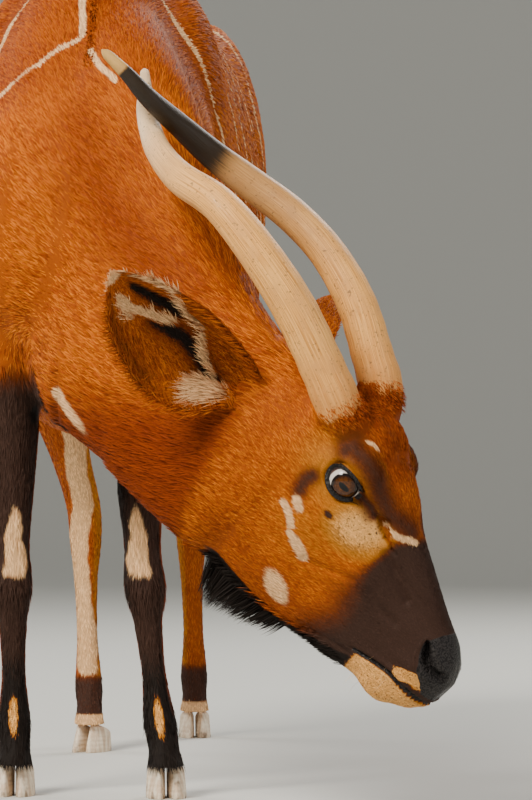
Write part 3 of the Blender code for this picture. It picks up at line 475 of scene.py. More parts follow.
# Face: lids round each eye, tear line, cheek ridge, lips, mouth and comma-shaped nostrils.
# They are raised and sunk in the head's fine surface, by up to 15 mm in the nostrils.
EYE_RADIUS = 0.0235
EYE_GAZE = (0.20, 0.12, 0.95)
LID_LENGTH = 0.0230
LID_UPPER = 0.0172
LID_LOWER = 0.0150
LID_RISE = 0.0022
EYE_HOLLOW = 0.010
MOUTH =[(0.155, -0.157), (0.188, -0.143), (0.215, -0.134), (0.245, -0.132), (0.270, -0.131)]
NOSTRIL = [
    (0.216, -0.068, 0.0030),
    (0.225, -0.077, 0.0070),
    (0.236, -0.084, 0.0095),
    (0.248, -0.087, 0.0090),
    (0.260, -0.086, 0.0055),
]
FACE_SWELLS = [
    ((-0.008, 0.031, 0.066), (0.034, 0.011, 0.03), 0.0055),
    ((0.052, -0.004, 0.060), (0.026, 0.013, 0.03), -0.0050),
    ((0.040, -0.055, 0.068), (0.050, 0.010, 0.03), 0.0035),
    ((0.110, -0.082, 0.050), (0.045, 0.010, 0.03), 0.0028),
    ((0.095, -0.130, 0.055), (0.050, 0.022, 0.03), -0.0048),
    ((-0.062, 0.004, 0.080), (0.018, 0.018, 0.03), -0.0045),
    ((-0.055, -0.120, 0.080), (0.050, 0.060, 0.03), 0.0040),
    ((0.222, -0.108, 0.045), (0.030, 0.012, 0.03), 0.0030),
    ((0.205, -0.158, 0.035), (0.030, 0.012, 0.03), 0.0028),
    ((0.160, -0.060, 0.045), (0.035, 0.016, 0.03), -0.0030),
    ((0.228, -0.066, 0.035), (0.014, 0.012, 0.03), 0.0030),
]

FACE_FOLDS = [
    ([(0.021, -0.009), (0.035, -0.010), (0.048, -0.014)], 0.0045, 0.0016),
    ([(0.096, -0.033), (0.112, -0.038), (0.128, -0.046), (0.158, -0.054)], 0.0055, 0.0045),
    ([(0.034, -0.123), (0.054, -0.113), (0.077, -0.099), (0.094, -0.088)], 0.0060, 0.0030),
    ([(0.123, -0.082), (0.144, -0.088), (0.171, -0.085)], 0.0060, 0.0028),
    ([(0.094, -0.193), (0.125, -0.179), (0.159, -0.166)], 0.0050, 0.0028),
    ([(-0.030, 0.022), (-0.012, 0.028), (0.008, 0.024), (0.022, 0.014)], 0.0055, 0.0030),
]


def eye_frame(side):
    a, u, l = EYE_PLACE
    ga, gu, gl = EYE_GAZE
    gaze = unit(HEAD_A * ga + HEAD_U * gu + HEAD_L * (gl * side))
    long = unit(HEAD_A - gaze * HEAD_A.dot(gaze))
    return head_point(a, u, side * l), long, np.cross(gaze, long) * side, gaze


def ramp(low, high, value):
    """0 below low, 1 above high, and smooth between."""
    t = np.clip((value - low) / (high - low), 0, 1)
    return t * t * (3 - 2 * t)


def almond(side, points):
    """How far out a point is from an eye's opening, 1 on its rim, and its height on the ball."""
    centre, long, up, gaze = eye_frame(side)
    d = points - centre
    x, y, z = d @ long, d @ up, d @ gaze
    high_lid = np.where(y > 0, LID_UPPER, LID_LOWER)
    corner = 1 + 0.10 * np.maximum(0, x / LID_LENGTH) ** 3
    out = np.sqrt((x / (LID_LENGTH * corner)) ** 2 + (y / high_lid) ** 2)
    surface = np.sqrt(np.maximum(EYE_RADIUS**2 - x * x - y * y, 0.0))
    return out, z, surface, y


def nostril_share(a, u):
    """Below 1 inside the comma of the nostril."""
    path = spline(NOSTRIL, 4)
    d = (a[:, None] - path[:, 0]) ** 2 + (u[:, None] - path[:, 1]) ** 2
    return np.sqrt(np.min(d / path[:, 2] ** 2, axis=1))


def nearest(points, path):
    """Distance from points to a line through a path, its direction there and the share of it."""
    path = np.array(path, dtype=float)
    best = np.full(len(points), 9.0)
    along = np.zeros((len(points), 3))
    share = np.zeros(len(points))
    steps = len(path) - 1
    for i, (start, end) in enumerate(zip(path, path[1:])):
        d = end - start
        t = np.clip((points - start) @ d / d.dot(d), 0, 1)
        far = np.linalg.norm(points - start - t[:, None] * d, axis=1)
        closer = far < best
        best = np.where(closer, far, best)
        along[closer] = unit(d)
        share = np.where(closer, (i + t) / steps, share)
    return best, along, share


def stroke(points, path, width):
    """0.5 at the edges of a stroke painted along a path, 1 on its line."""
    return np.clip(1 - nearest(points, path)[0] / (2 * width), 0, 1)


def flat_stroke(a, u, path, width):
    """As stroke, in the plane of A and U."""
    return stroke(np.column_stack([a, u, 0 * a]), [(pa, pu, 0.0) for pa, pu in path], width)


def carve_face(points, normals):
    """Moves the head's fine surface into its folds and openings."""
    a, u, l = in_head(points)
    reach = np.zeros(len(points))
    for (ca, cu, cl), (ra, ru, rl), lift in FACE_SWELLS:
        far = ((a - ca) / ra) ** 2 + ((u - cu) / ru) ** 2 + ((np.abs(l) - cl) / rl) ** 2
        reach += lift * np.exp(-far)
    for path, half, depth in FACE_FOLDS:
        off = (1 - flat_stroke(a, u, path, half)) * 2
        reach -= depth * np.exp(-(off**2)) * ramp(0.012, 0.024, np.abs(l))
    line = np.interp(a, [m[0] for m in MOUTH], [m[1] for m in MOUTH])
    gape = np.exp(-(((u - line) / 0.0021) ** 2)) * ramp(0.150, 0.170, a)
    reach -= 0.0060 * gape
    lips = np.exp(-(((np.abs(u - line) - 0.0065) / 0.0040) ** 2)) * ramp(0.16, 0.20, a)
    reach += 0.0016 * lips
    split = np.exp(-((l / 0.0016) ** 2)) * ramp(0.255, 0.265, a) * ramp(-0.130, -0.095, -u)
    reach -= 0.0015 * split
    nose = nostril_share(a, u)
    side_on = ramp(0.012, 0.022, np.abs(l)) * (a > 0.19)
    reach -= 0.0150 * (1 - ramp(0.35, 1.0, nose)) * side_on
    reach += 0.0024 * np.exp(-(((nose - 1.45) / 0.35) ** 2)) * side_on
    moved = points + normals * reach[:, None]
    for side in (1, -1):
        out, z, surface, y = almond(side, points)
        near = (z > 0) & (out < 2.4)
        gaze = eye_frame(side)[3]
        want = surface + np.where(out < 0.92, -EYE_HOLLOW, LID_RISE)
        share = np.where(out < 0.92, 1.0, 1 - ramp(1.0, 1.55, out))
        fold = 0.0016 * np.exp(-(((out - 1.62) / 0.10) ** 2)) * (y > 0.002)
        push = (want - z) * share * near - fold * near
        moved = moved + gaze * push[:, None]
    return moved


def refine(obj, inside):
    """Splits the quads of one region in four and evens them out."""
    bm = bmesh.new()
    bm.from_mesh(obj.data)
    centres = np.array([f.calc_center_median() for f in bm.faces])
    keep = np.flatnonzero(inside(centres))
    bm.faces.ensure_lookup_table()
    edges = {e for i in keep for e in bm.faces[i].edges}
    bmesh.ops.subdivide_edges(bm, edges=list(edges), cuts=1, use_grid_fill=True)
    bm.to_mesh(obj.data)
    bm.free()
    soften(obj, inside, 2)


def fine_spots(points):
    spots = near_head(points) & (in_head(points)[0] > 0.145)
    for side in (1, -1):
        spots |= np.linalg.norm(points - eye_frame(side)[0], axis=1) < 0.052
    return spots


def vertex_normals(mesh):
    mesh.update()
    out = np.empty(len(mesh.vertices) * 3)
    mesh.vertex_normals.foreach_get("vector", out)
    return out.reshape(-1, 3)


def coat_depth(points):
    """How far the bare skin lies below the tips of the coat."""
    on_head = near_head(points)
    return np.where(on_head, 0.0022, np.where(near_legs(points), 0.0025, 0.0045))


def carved_flesh():
    obj = fused_flesh()
    refine(obj, near_head)
    refine(obj, fine_spots)
    points = coords(obj.data)
    points -= vertex_normals(obj.data) * coat_depth(points)[:, None]
    obj.data.vertices.foreach_set("co", points.ravel())
    normals = vertex_normals(obj.data)
    points = carve_face(points, normals)
    obj.data.vertices.foreach_set("co", points.ravel())
    obj.data.update()
    return obj


skin = carved_flesh()


# Eyelids and ears: a dark leathery bead round each eye, and two thin gristly cups 0.25 m long.
# Both are part of the one skin, and the cups' roots are sunk in the head.
LID_STEPS = 72
LID_SIDES = 12
LID_BEAD = 0.0020


def lid_bead(bm, side):
    centre, long, up, gaze = eye_frame(side)
    rings = []
    for i in range(LID_STEPS):
        angle = 2 * math.pi * i / LID_STEPS
        corner = 1 + 0.10 * max(0.0, math.cos(angle)) ** 3
        x = LID_LENGTH * corner * math.cos(angle)
        y = math.sin(angle) * (LID_UPPER if math.sin(angle) > 0 else LID_LOWER)
        z = math.sqrt(max(EYE_RADIUS**2 - x * x - y * y, 0.0)) + 0.0006
        middle = centre + long * x + up * y + gaze * z
        outward = unit(long * math.cos(angle) + up * math.sin(angle))
        normal = unit(middle - centre)
        thick = LID_BEAD * (1.0 + 0.35 * max(0.0, math.sin(angle)))
        ring = []
        for k in range(LID_SIDES):
            turn = 2 * math.pi * k / LID_SIDES
            offset = outward * (math.cos(turn) * 1.25 + 0.55) + normal * math.sin(turn)
            ring.append(bm.verts.new(Vector(middle + offset * thick)))
        rings.append(ring)
    for i in range(LID_STEPS):
        a_ring, b_ring = rings[i], rings[(i + 1) % LID_STEPS]
        for k in range(LID_SIDES):
            n = (k + 1) % LID_SIDES
            bm.faces.new((a_ring[k], b_ring[k], b_ring[n], a_ring[n]))


EAR_OUTLINE = [
    (0.00, 0.016, 0.018, 0.014),
    (0.08, 0.020, 0.038, 0.020),
    (0.18, 0.030, 0.070, 0.031),
    (0.32, 0.038, 0.092, 0.037),
    (0.48, 0.043, 0.094, 0.037),
    (0.62, 0.040, 0.084, 0.033),
    (0.76, 0.033, 0.070, 0.025),
    (0.87, 0.024, 0.048, 0.015),
    (0.95, 0.013, 0.025, 0.006),
    (1.00, 0.003, 0.004, 0.001),
]
EAR_LENGTH = 0.25
EAR_ROOT_DEPTH = 0.030
EAR_SKIN = 0.0034
EAR_ACROSS = 44
EARS = {
    "ear_right": (head_point(-0.187, -0.031, -0.070), (-0.191, -0.130, 0.158), (0.10, -1.0, -0.35), 1),
    "ear_left": (head_point(-0.170, -0.031, 0.075), (0.180, 0.850, 0.500), (0.60, 0.30, -0.70), -1),
}


def ear_axes(name):
    root, along, facing, handed = EARS[name]
    along = unit(np.array(along))
    facing = unit(np.array(facing) - along * along.dot(facing))
    return root, along, facing, np.cross(along, facing) * handed


def ear_sheets(name):
    """Points of the outer and inner sheet of an ear, and their share of its length and width."""
    root, along, facing, across = ear_axes(name)
    rows = spline(EAR_OUTLINE, 7)
    t = np.linspace(-1, 1, EAR_ACROSS + 1)[None, :]
    share, upper, lower, depth = [rows[:, k : k + 1] for k in range(4)]
    reach = np.where(t > 0, upper, lower) * t
    rim = 1 - np.abs(t) ** 6
    skin_depth = EAR_SKIN * (0.35 + 0.65 * rim) * (1 - 0.45 * share)
    curl = 0.05 * depth * np.sin(t * 9 + share * 5)
    start = share * (EAR_LENGTH + EAR_ROOT_DEPTH) - EAR_ROOT_DEPTH - 0.003
    sheets = []
    for sign in (-0.5, 0.5):
        lift = -depth * (1 - t * t) + sign * skin_depth + curl
        point = root + along * start[..., None] * np.ones_like(t)[..., None]
        sheets.append(point + across * reach[..., None] * 0.97 + facing * lift[..., None])
    return sheets, share * np.ones_like(t), t * np.ones_like(share)


def ear_shell(bm, name):
    sheets = ear_sheets(name)[0]
    grids = [[[bm.verts.new(Vector(p)) for p in row] for row in sheet] for sheet in sheets]
    rows, columns = len(grids[0]), EAR_ACROSS + 1
    for grid in grids:
        for i in range(rows - 1):
            for k in range(columns - 1):
                corners = grid[i][k], grid[i][k + 1], grid[i + 1][k + 1], grid[i + 1][k]
                bm.faces.new(corners)
    outer, inner = grids
    for i in range(rows - 1):
        for k in (0, columns - 1):
            bm.faces.new((outer[i][k], outer[i + 1][k], inner[i + 1][k], inner[i][k]))
    for k in range(columns - 1):
        bm.faces.new((outer[-1][k], outer[-1][k + 1], inner[-1][k + 1], inner[-1][k]))


FLESH_COUNT = len(skin.data.vertices)


def add_islands(obj):
    bm = bmesh.new()
    for side in (1, -1):
        lid_bead(bm, side)
    lid_count = len(bm.verts)
    for name in EARS:
        ear_shell(bm, name)
    bmesh.ops.recalc_face_normals(bm, faces=bm.faces)
    extra = bpy.data.meshes.new("islands")
    bm.to_mesh(extra)
    bm.free()
    whole = bmesh.new()
    whole.from_mesh(obj.data)
    whole.from_mesh(extra)
    whole.to_mesh(obj.data)
    whole.free()
    for face in obj.data.polygons:
        face.use_smooth = True
    return FLESH_COUNT + lid_count


LIDS_END = add_islands(skin)

# Markings: each is a smooth measure on the skin, from formulas in the animal's own axes.
# The shader and the coat both read them: white, black, muzzle brown, mauve red, sand, bare hide.


def blob(a, u, ca, cu, ra, ru, turn=0.0):
    """1 in the middle of an oval patch in a plane and 0.5 on its edge."""
    c, s = math.cos(turn), math.sin(turn)
    da, du = a - ca, u - cu
    far = np.hypot((da * c + du * s) / ra, (du * c - da * s) / ru)
    return np.clip(1 - far / 2, 0, 1)


STRIPES = [(0.090, 1.5, 0.80), (0.200, 1.3, 0.72), (0.310, 1.1, 0.66), (0.400, 1.0, 0.63)]
STRIPES += [(0.490, 0.9, 0.62), (0.580, 0.8, 0.62), (0.670, 0.7, 0.64), (0.760, 0.6, 0.68)]
STRIPES += [(0.850, 0.6, 0.72), (0.940, 0.5, 0.74), (1.030, 0.4, 0.78)]
STRIPE_TOP = 1.06
STRIPE_HALF = 0.0031
LEG_PATHS = {name: [row[0] for row in rows] for name, rows in LEGS.items()}
NECK_PATH = [row[0] for row in NECK]
YOKE = [
    [(-0.015, -0.058, 1.041), (-0.039, -0.058, 1.030), (-0.067, -0.058, 1.009), (-0.124, -0.015, 0.969)],
    [(0.003, -0.092, 1.024), (0.019, -0.139, 0.998), (0.040, -0.174, 0.977), (0.085, -0.150, 0.930)],
    [(-0.009, -0.053, 1.048), (-0.009, -0.030, 1.071), (-0.012, 0.002, 1.102), (-0.008, 0.060, 1.150)],
]
CRESCENT = [(-0.036, -0.186, 0.553), (-0.022, -0.195, 0.533), (-0.011, -0.206, 0.519), (0.020, -0.215, 0.505)]
NAPE_DARK = [(0.000, -0.150, 0.920), (0.028, -0.225, 0.813), (0.070, -0.270, 0.750), (0.110, -0.304, 0.703)]
BELLY_LINE = [(-0.077, 0.013, 0.528), (-0.050, -0.070, 0.515), (-0.020, -0.133, 0.506)]


def zones(points):
    """Shares of head, neck, each leg and tail at points."""
    a, u, l = in_head(points)
    plane = (points - HEAD_CUT[0]) @ HEAD_CUT[1]
    on_head = ramp(-0.03, 0.03, plane) * (np.sqrt(a * a + u * u + l * l) < 0.40)
    neck_along = nearest(points, NECK_PATH)[1]
    on_neck = ramp(0.12, -0.02, points[:, 1]) * (1 - on_head)
    tail_far = nearest(points, [row[0] for row in TAIL])[0]
    on_tail = (tail_far < 0.045) & (points[:, 1] > 1.175)
    legs = {}
    for name, path in LEG_PATHS.items():
        far, along, share = nearest(points, path)
        top = 0.60 if "front" in name else 0.72
        own = (points[:, 1] > 0.55) == ("rear" in name)
        own &= ~on_tail & (on_head < 0.5) & (far < 0.17)
        sides = 0.0 if "front" in name else 0.045
        own &= (points[:, 0] > sides) == ("left" in name)
        legs[name] = (ramp(top + 0.10, top - 0.04, points[:, 2]) * own, far, along, share)
    return on_head, on_neck, neck_along, on_tail, legs


def leg_marks(points, name, share_of):
    """Cream, black, dark brown and tan of one leg, by height and by how far round it a point is."""
    x, y, z = points.T
    left = 1 if "left" in name else -1
    rows = np.array([[*c, w, d] for c, w, d in LEGS[name]])[::-1]
    middle_x, middle_y, wide, deep = [np.interp(z, rows[:, 2], rows[:, k]) for k in (0, 1, 3, 4)]
    fore = (middle_y - y) / deep
    inward = (middle_x - x) * left
    inner = inward / wide
    if "front" in name:
        black = ramp(0.0, 0.55, fore + 0.10 * inner) * ramp(0.64, 0.50, z)
        black = np.maximum(black, 0.70 * ramp(0.16, 0.10, z))
        half = 0.006 + 0.12 * np.clip(0.405 - z, 0, 0.10)
        ragged = 0.0018 * np.sin(z * 110) + 0.0010 * np.sin(z * 260 + 30 * x)
        white = 0.80 * ramp(half + 0.009, half - 0.007, np.abs(inward - 0.006 + ragged)) * (fore > 0)
        white *= ramp(0.285, 0.325, z + 2 * ragged) * ramp(0.430, 0.375, z)
        tan = 1.6 * blob(inward, z, 0.0, 0.110, 0.0050, 0.0210) * (fore > 0)
        tan = np.clip(tan, 0, 0.9)
        brown = 0.0 * z
    else:
        line = np.interp(z, [0.10, 0.16, 0.24, 0.30, 0.42, 0.60], [0.002, 0.0, -0.006, -0.014, 0.004, 0.030])
        ragged = 0.0020 * np.sin(z * 60) + 0.0008 * np.sin(z * 190)
        white = 0.85 * ramp(0.0260, 0.0080, np.abs(inward - line + ragged)) * (fore > -0.2)
        white *= ramp(0.105, 0.135, z) * ramp(0.62, 0.50, z) * (1.0 if left < 0 else 0.0)
        white = np.maximum(white, 0.9 * ramp(0.070, 0.050, z))
        black = 0.0 * z
        brown = 0.62 * ramp(0.135, 0.105, z) * ramp(0.045, 0.055, z) * (white < 0.5)
        tan = 0.50 * ramp(0.0, 0.8, inner)
    if "front" in name:
        brown = np.maximum(brown, black) * (white < 0.5) * (tan < 0.5)
        black = 0.80 * black * ramp(0.30, 0.10, z) * (white < 0.5) * (tan < 0.5)
    return [share * share_of for share in (white, black, brown, tan)]


def body_marks(points):
    x, y, z = points.T
    on_head, on_neck, neck_along, on_tail, legs = zones(points)
    trunk = (1 - on_head) * ~on_tail
    side = x - SPINE_YAW * y
    white = np.zeros(len(points))
    for i, (y0, slant, floor_z) in enumerate(STRIPES):
        bow = y0 + slant * np.maximum(0, STRIPE_TOP - z) ** 2
        bow = bow + 0.006 * np.sin(z * 23 + i * 2.1) + 0.004 * np.sin(z * 51 + i) * np.sign(side)
        half = STRIPE_HALF * (1.0 + 0.35 * np.sin(z * 37 + i * 1.7))
        line = np.clip(1 - np.abs(y - bow) / (2 * half), 0, 1)
        white = np.maximum(white, line * ramp(floor_z - 0.03, floor_z + 0.05, z) * trunk)
    for path in YOKE:
        white = np.maximum(white, stroke(points, path, 0.0046))
    white = np.maximum(white, stroke(points, CRESCENT, 0.0110) * (1 - on_head))
    ridge = np.clip(1 - np.abs(side) / 0.022, 0, 1) * (z > 1.0) * trunk * ramp(0.03, 0.09, y)
    belly = np.clip(1 - np.abs(side) / 0.10, 0, 1) * ramp(0.57, 0.53, z) * trunk
    belly *= ramp(-0.10, -0.02, y) * ramp(0.90, 0.80, y)
    black = np.maximum(np.maximum(ridge, belly), stroke(points, BELLY_LINE, 0.012) * (1 - on_head))
    white = np.where(belly > 0.3, 0, white)
    brown, tan = np.zeros(len(points)), np.zeros(len(points))
    for name, row in legs.items():
        own = leg_marks(points, name, row[0])
        white, black, brown, tan = [np.maximum(*pair) for pair in zip((white, black, brown, tan), own)]
    low = ramp(0.62, 0.50, z) * on_neck + 0.55 * ramp(0.75, 0.55, z) * (1 - on_head) * (1 - on_neck)
    high = 0.55 * ramp(0.86, 1.00, z) * ramp(0.30, 0.12, y) * (1 - on_head)
    nape = 0.70 * stroke(points, NAPE_DARK, 0.080) * on_neck
    red = np.maximum.reduce([nape, np.clip(low, 0, 1) * 0.8, high])
    return white, black, brown, tan, red, on_head, on_tail


MUZZLE_EDGE = [(-0.230, 0.105), (-0.185, 0.104), (-0.142, 0.118), (-0.104, 0.110), (-0.083, 0.102)]
MUZZLE_EDGE += [(-0.061, 0.098), (-0.041, 0.097), (-0.017, 0.095), (-0.003, 0.108), (0.050, 0.115)]
JAW_BLACK = [(-0.100, -0.222), (0.018, -0.220), (0.049, -0.214), (0.082, -0.203), (0.115, -0.190)]
JAW_BLACK += [(0.148, -0.174), (0.167, -0.160)]
NOSE_PAD = [(-0.118, 0.258), (-0.100, 0.235), (-0.080, 0.222), (-0.069, 0.214), (-0.050, 0.221)]
NOSE_PAD += [(-0.040, 0.232)]
BROW_WHITE = [(-0.028, 0.045, 0.051), (-0.020, 0.047, 0.046), (-0.012, 0.047, 0.045)]
DARK_STRIPE = [(-0.037, 0.022, 0.069), (-0.031, 0.034, 0.068), (-0.022, 0.034, 0.072), (-0.005, 0.037, 0.071)]
DARK_STRIPE += [(0.020, 0.029, 0.064), (0.041, 0.012, 0.050), (0.061, 0.003, 0.042), (0.092, 0.003, 0.019)]
CHEVRON = [(0.064, -0.012, 0.036), (0.079, -0.011, 0.042), (0.090, -0.009, 0.035), (0.100, -0.004, 0.024)]
CHEVRON += [(0.106, -0.003, 0.016)]
CHEEK_STROKES = [
    ([(-0.037, -0.089), (-0.027, -0.091), (-0.018, -0.096), (-0.010, -0.102)], 0.0050),
    ([(-0.004, -0.110), (0.007, -0.112)], 0.0050),
    ([(0.007, -0.112), (0.021, -0.116), (0.029, -0.119)], 0.0072),
]
MOUTH_TAN = [(0.222, -0.124), (0.241, -0.112), (0.251, -0.113)]
TEAR_DARK = [(0.021, -0.007), (0.035, -0.007), (0.048, -0.012)]
TEMPLE_DARK = [(-0.039, -0.035), (-0.041, -0.046), (-0.036, -0.060)]


def level(table, at):
    return np.interp(at, [row[0] for row in table], [row[1] for row in table])


def face_marks(points, on_head):
    a, u, l = in_head(points)
    far_l = np.abs(l)
    both = np.column_stack([a, u, far_l])
    side_on = ramp(0.025, 0.045, far_l)
    line = level(MOUTH, a)
    cheek = [flat_stroke(a, u, path, half) for path, half in CHEEK_STROKES]
    cheek.append(0.80 * flat_stroke(a, u, [(-0.029, -0.072), (-0.019, -0.077)], 0.0070))
    cheek.append(blob(a, u, 0.034, -0.184, 0.0240, 0.0150, -0.55))
    spots = np.maximum.reduce(cheek) * side_on
    spots = np.maximum(spots, stroke(both, BROW_WHITE, 0.0024))
    chevron = stroke(both, CHEVRON, 0.0042)
    chin = ramp(0.002, 0.005, line - u) * ramp(0.162, 0.168, a)
    white = np.maximum(spots, chevron * 0.95)
    sand = np.clip(1.25 * blob(a, u, 0.053, -0.032, 0.040, 0.031, 0.6), 0, 1) * side_on
    around_eye = 0.66 * blob(a, u, -0.014, -0.008, 0.070, 0.050) * side_on
    jowl = 0.40 * blob(a, u, 0.005, -0.090, 0.085, 0.060) * side_on
    lip = ramp(0.38, 0.58, flat_stroke(a, u, MOUTH_TAN, 0.0085))
    sand = np.maximum.reduce([sand, around_eye, jowl, 0.85 * lip, 0.92 * chin])
    edge = a - level(MUZZLE_EDGE, u)
    soft = 0.013 + 0.042 * ramp(-0.05, -0.12, u)
    brown = np.clip(0.5 + edge / (2 * soft), 0, 1) * (chin < 0.5) * (lip < 0.5) * (sand < 0.8)
    brown = np.maximum(brown, 0.56 * stroke(both, DARK_STRIPE, 0.0200))
    brown = np.maximum(brown, 0.60 * flat_stroke(a, u, TEMPLE_DARK, 0.0120) * side_on)
    brown = np.maximum(brown, 0.62 * flat_stroke(a, u, TEAR_DARK, 0.0090) * side_on)
    brown = np.maximum(brown, blob(a, u, 0.013, -0.050, 0.0050, 0.0036) * side_on)
    ring = np.full(len(points), 9.0)
    for side in (1, -1):
        out, z = almond(side, points)[:2]
        ring = np.where(z > 0.004, np.minimum(ring, out), ring)
    black = ramp(1.30, 1.12, ring)
    jaw = level(JAW_BLACK, a) - u
    under = ramp(-0.004, 0.010, jaw) * ramp(-0.10, -0.04, a) * ramp(0.172, 0.156, a)
    black = np.maximum(black, under)
    pad = ramp(-0.003, 0.003, a - level(NOSE_PAD, u)) * ramp(-0.124, -0.118, u)
    hole = ramp(1.25, 0.9, nostril_share(a, u)) * (far_l > 0.012) * (a > 0.19)
    seam = ramp(0.0040, 0.0015, np.abs(u - line)) * (a > 0.158)
    bare = np.maximum.reduce([pad, hole, seam, ramp(1.22, 1.08, ring)])
    black = np.maximum(black, np.maximum(0.9 * pad, np.maximum(hole, seam)))
    red = np.maximum(ramp(0.07, 0.02, a) * ramp(0.010, 0.035, u) * 0.62, 0.42 * ramp(-0.06, -0.13, a))
    red = np.maximum(red, 0.45 * ramp(-0.145, -0.175, u))
    parts = [white, black, brown, red, sand, bare]
    return [part * on_head for part in parts]


EAR_CREAM = [(0.90, 0.90), (0.70, 0.95), (0.52, 0.45), (0.41, 0.36)]
EAR_CREAM += [(0.32, -0.10), (0.26, -0.23), (0.20, -0.34)]
EAR_ROW = [(0.84, -0.50), (0.72, -0.27), (0.60, -0.14), (0.54, -0.05)]
EAR_DARK = [(0.83, 0.05), (0.70, 0.15), (0.54, 0.34)]
EAR_DEEP = [(0.62, -0.23), (0.54, -0.18), (0.44, -0.14), (0.34, -0.18), (0.28, -0.26), (0.19, -0.40)]
EAR_FRINGE = [(0.86, -0.85), (0.72, -0.92), (0.60, -0.92), (0.46, -0.90)]


def ear_flat(share, t):
    """Metres along an ear from its root, and across it."""
    return 0.28 * share, np.where(t > 0, 0.040, 0.090) * t


def ear_marks(share, t, inner):
    """Cream rim, row and base tuft between dark patches, dark lower fringe, rust elsewhere."""
    along, across = ear_flat(share, t)

    def band(path, half):
        places = [ear_flat(np.float64(s), np.float64(w)) for s, w in path]
        return flat_stroke(along, across, places, half)

    white = np.maximum.reduce([
        0.80 * band(EAR_CREAM, 0.0040),
        0.95 * band(EAR_ROW, 0.0056),
        blob(along, across, 0.226, -0.042, 0.020, 0.014),
        blob(along, across, 0.055, -0.056, 0.024, 0.016),
    ]) * inner
    white = np.maximum(white, ramp(0.93, 0.97, share))
    black = np.maximum(band(EAR_DARK, 0.0130), band(EAR_DEEP, 0.0100)) * inner * 0.9
    brown = np.maximum(0.34 * band(EAR_FRINGE, 0.0120), 0.50 * band(EAR_DEEP, 0.0180)) * inner
    zero = np.zeros_like(share)
    return white, black * (white < 0.42), brown * (white < 0.42), zero + 0.15, zero, zero


def flesh_marks(points):
    """Six marks for points on or just above the flesh."""
    white, black, brown, tan, red, on_head, on_tail = body_marks(points)
    face = face_marks(points, on_head)
    tassel = on_tail * ramp(0.74, 0.68, points[:, 2])
    marks = [
        np.maximum(white * (1 - on_head), face[0]),
        np.maximum.reduce([black * (1 - on_head), face[1], tassel]),
        np.maximum(brown, face[2]),
        np.maximum(red * (1 - on_head), face[3]),
        np.maximum(tan, face[4]),
        face[5],
    ]
    return np.clip(np.array(marks), 0, 1)


def ear_parts():
    """For each sheet of each ear: number, name, inner or not, its vertices, and their share and t."""
    place = LIDS_END
    for i, name in enumerate(EARS):
        share, t = ear_sheets(name)[1:]
        for inner in (0, 1):
            yield i, name, inner, slice(place, place + share.size), share.ravel(), t.ravel()
            place += share.size


def all_marks(points):
    """The marks of every vertex of the skin: flesh first, then lids, then ears."""
    marks = flesh_marks(points)
    marks[:, FLESH_COUNT:LIDS_END] = np.array([0, 1, 0, 0, 0, 1])[:, None]
    for i, name, inner, part, share, t in ear_parts():
        marks[:, part] = ear_marks(share, t, inner)
    return np.clip(marks, 0, 1)


SKIN_POINTS = coords(skin.data)
SKIN_NORMALS = vertex_normals(skin.data)
SKIN_MARKS = all_marks(SKIN_POINTS)


def write_marks(mesh, marks, reach, luck):
    """marks_a holds white, black, brown and red; marks_b sand, bare hide, reach along a hair and luck."""
    count = len(mesh.vertices)
    for name, rows in (("marks_a", marks[:4]), ("marks_b", [marks[4], marks[5], reach, luck])):
        layer = mesh.attributes.new(name, "FLOAT_COLOR", "POINT")
        values = np.column_stack([np.broadcast_to(row, count) for row in rows])
        layer.data.foreach_set("color", values.astype(np.float32).ravel())


# Skin vertices sit at reach 0.30, so the coat's painted root shade also darkens the skin under the tufts.
write_marks(skin.data, SKIN_MARKS, 0.30, 0.5)


# Coat finish: rust chestnut hair with its marks, their edges broken by fine noise. Skin and tufts
# share it. Each tuft is darkened toward its root as painted shade between the tufts, and lightened toward
# its tip as painted light; the skin under the tufts takes the root shade too. The bare nose, lids and mouth
# line are black and wet.
COLOUR_PARTS = ("Red", "Green", "Blue", "Alpha")


class Socket:
    """A node output that takes part in sums, so shader maths reads as an expression."""

    def __init__(self, tree, out):
        self.tree, self.out = tree, out

    @staticmethod
    def node(tree, kind, settings, sockets, output=0):
        """Adds a node: its settings first, then the values or links of its sockets."""
        made = tree.nodes.new("ShaderNode" + kind)
        for key, value in settings.items():
            setattr(made, key, value)
        for key, value in sockets.items():
            if isinstance(value, Socket):
                tree.links.new(value.out, made.inputs[key])
            else:
                made.inputs[key].default_value = (*value, 1) if isinstance(value, tuple) else value
        return Socket(tree, made.outputs[output])

    def maths(self, kind, *values):
        return Socket.node(self.tree, "Math", {"operation": kind}, dict(enumerate(values)))

    def __add__(self, other):
        return self.maths("ADD", self, other)

    def __sub__(self, other):
        return self.maths("SUBTRACT", self, other)

    def __rsub__(self, other):
        return self.maths("SUBTRACT", other, self)

    def __mul__(self, other):
        return self.maths("MULTIPLY", self, other)

    __radd__, __rmul__ = __add__, __mul__

    def root(self):
        return self.maths("SQRT", self)

    def ramp(self, low, high):
        """0 below low, 1 above high, smooth between."""
        ends = {"Value": self, "From Min": low, "From Max": high}
        return Socket.node(self.tree, "MapRange", {"interpolation_type": "SMOOTHSTEP"}, ends, "Result")

    def to(self, target):
        self.tree.links.new(self.out, target)


def stored(tree, name, part):
    """One part of a colour that is stored on the mesh."""
    settings = {"attribute_name": name}
    if part == "Alpha":
        return Socket.node(tree, "Attribute", settings, {}, part)
    colour = Socket.node(tree, "Attribute", settings, {}, "Color")
    return Socket.node(tree, "SeparateColor", {}, {0: colour}, part)


def own_place(tree):
    """A point's place on its own piece."""
    return Socket.node(tree, "TexCoord", {}, {}, "Object")


def noise(tree, scale, detail, vector=None, rough=0.55):
    sockets = {"Scale": scale, "Detail": detail, "Roughness": rough, "Vector": vector or own_place(tree)}
    return Socket.node(tree, "TexNoise", {}, sockets, "Fac")


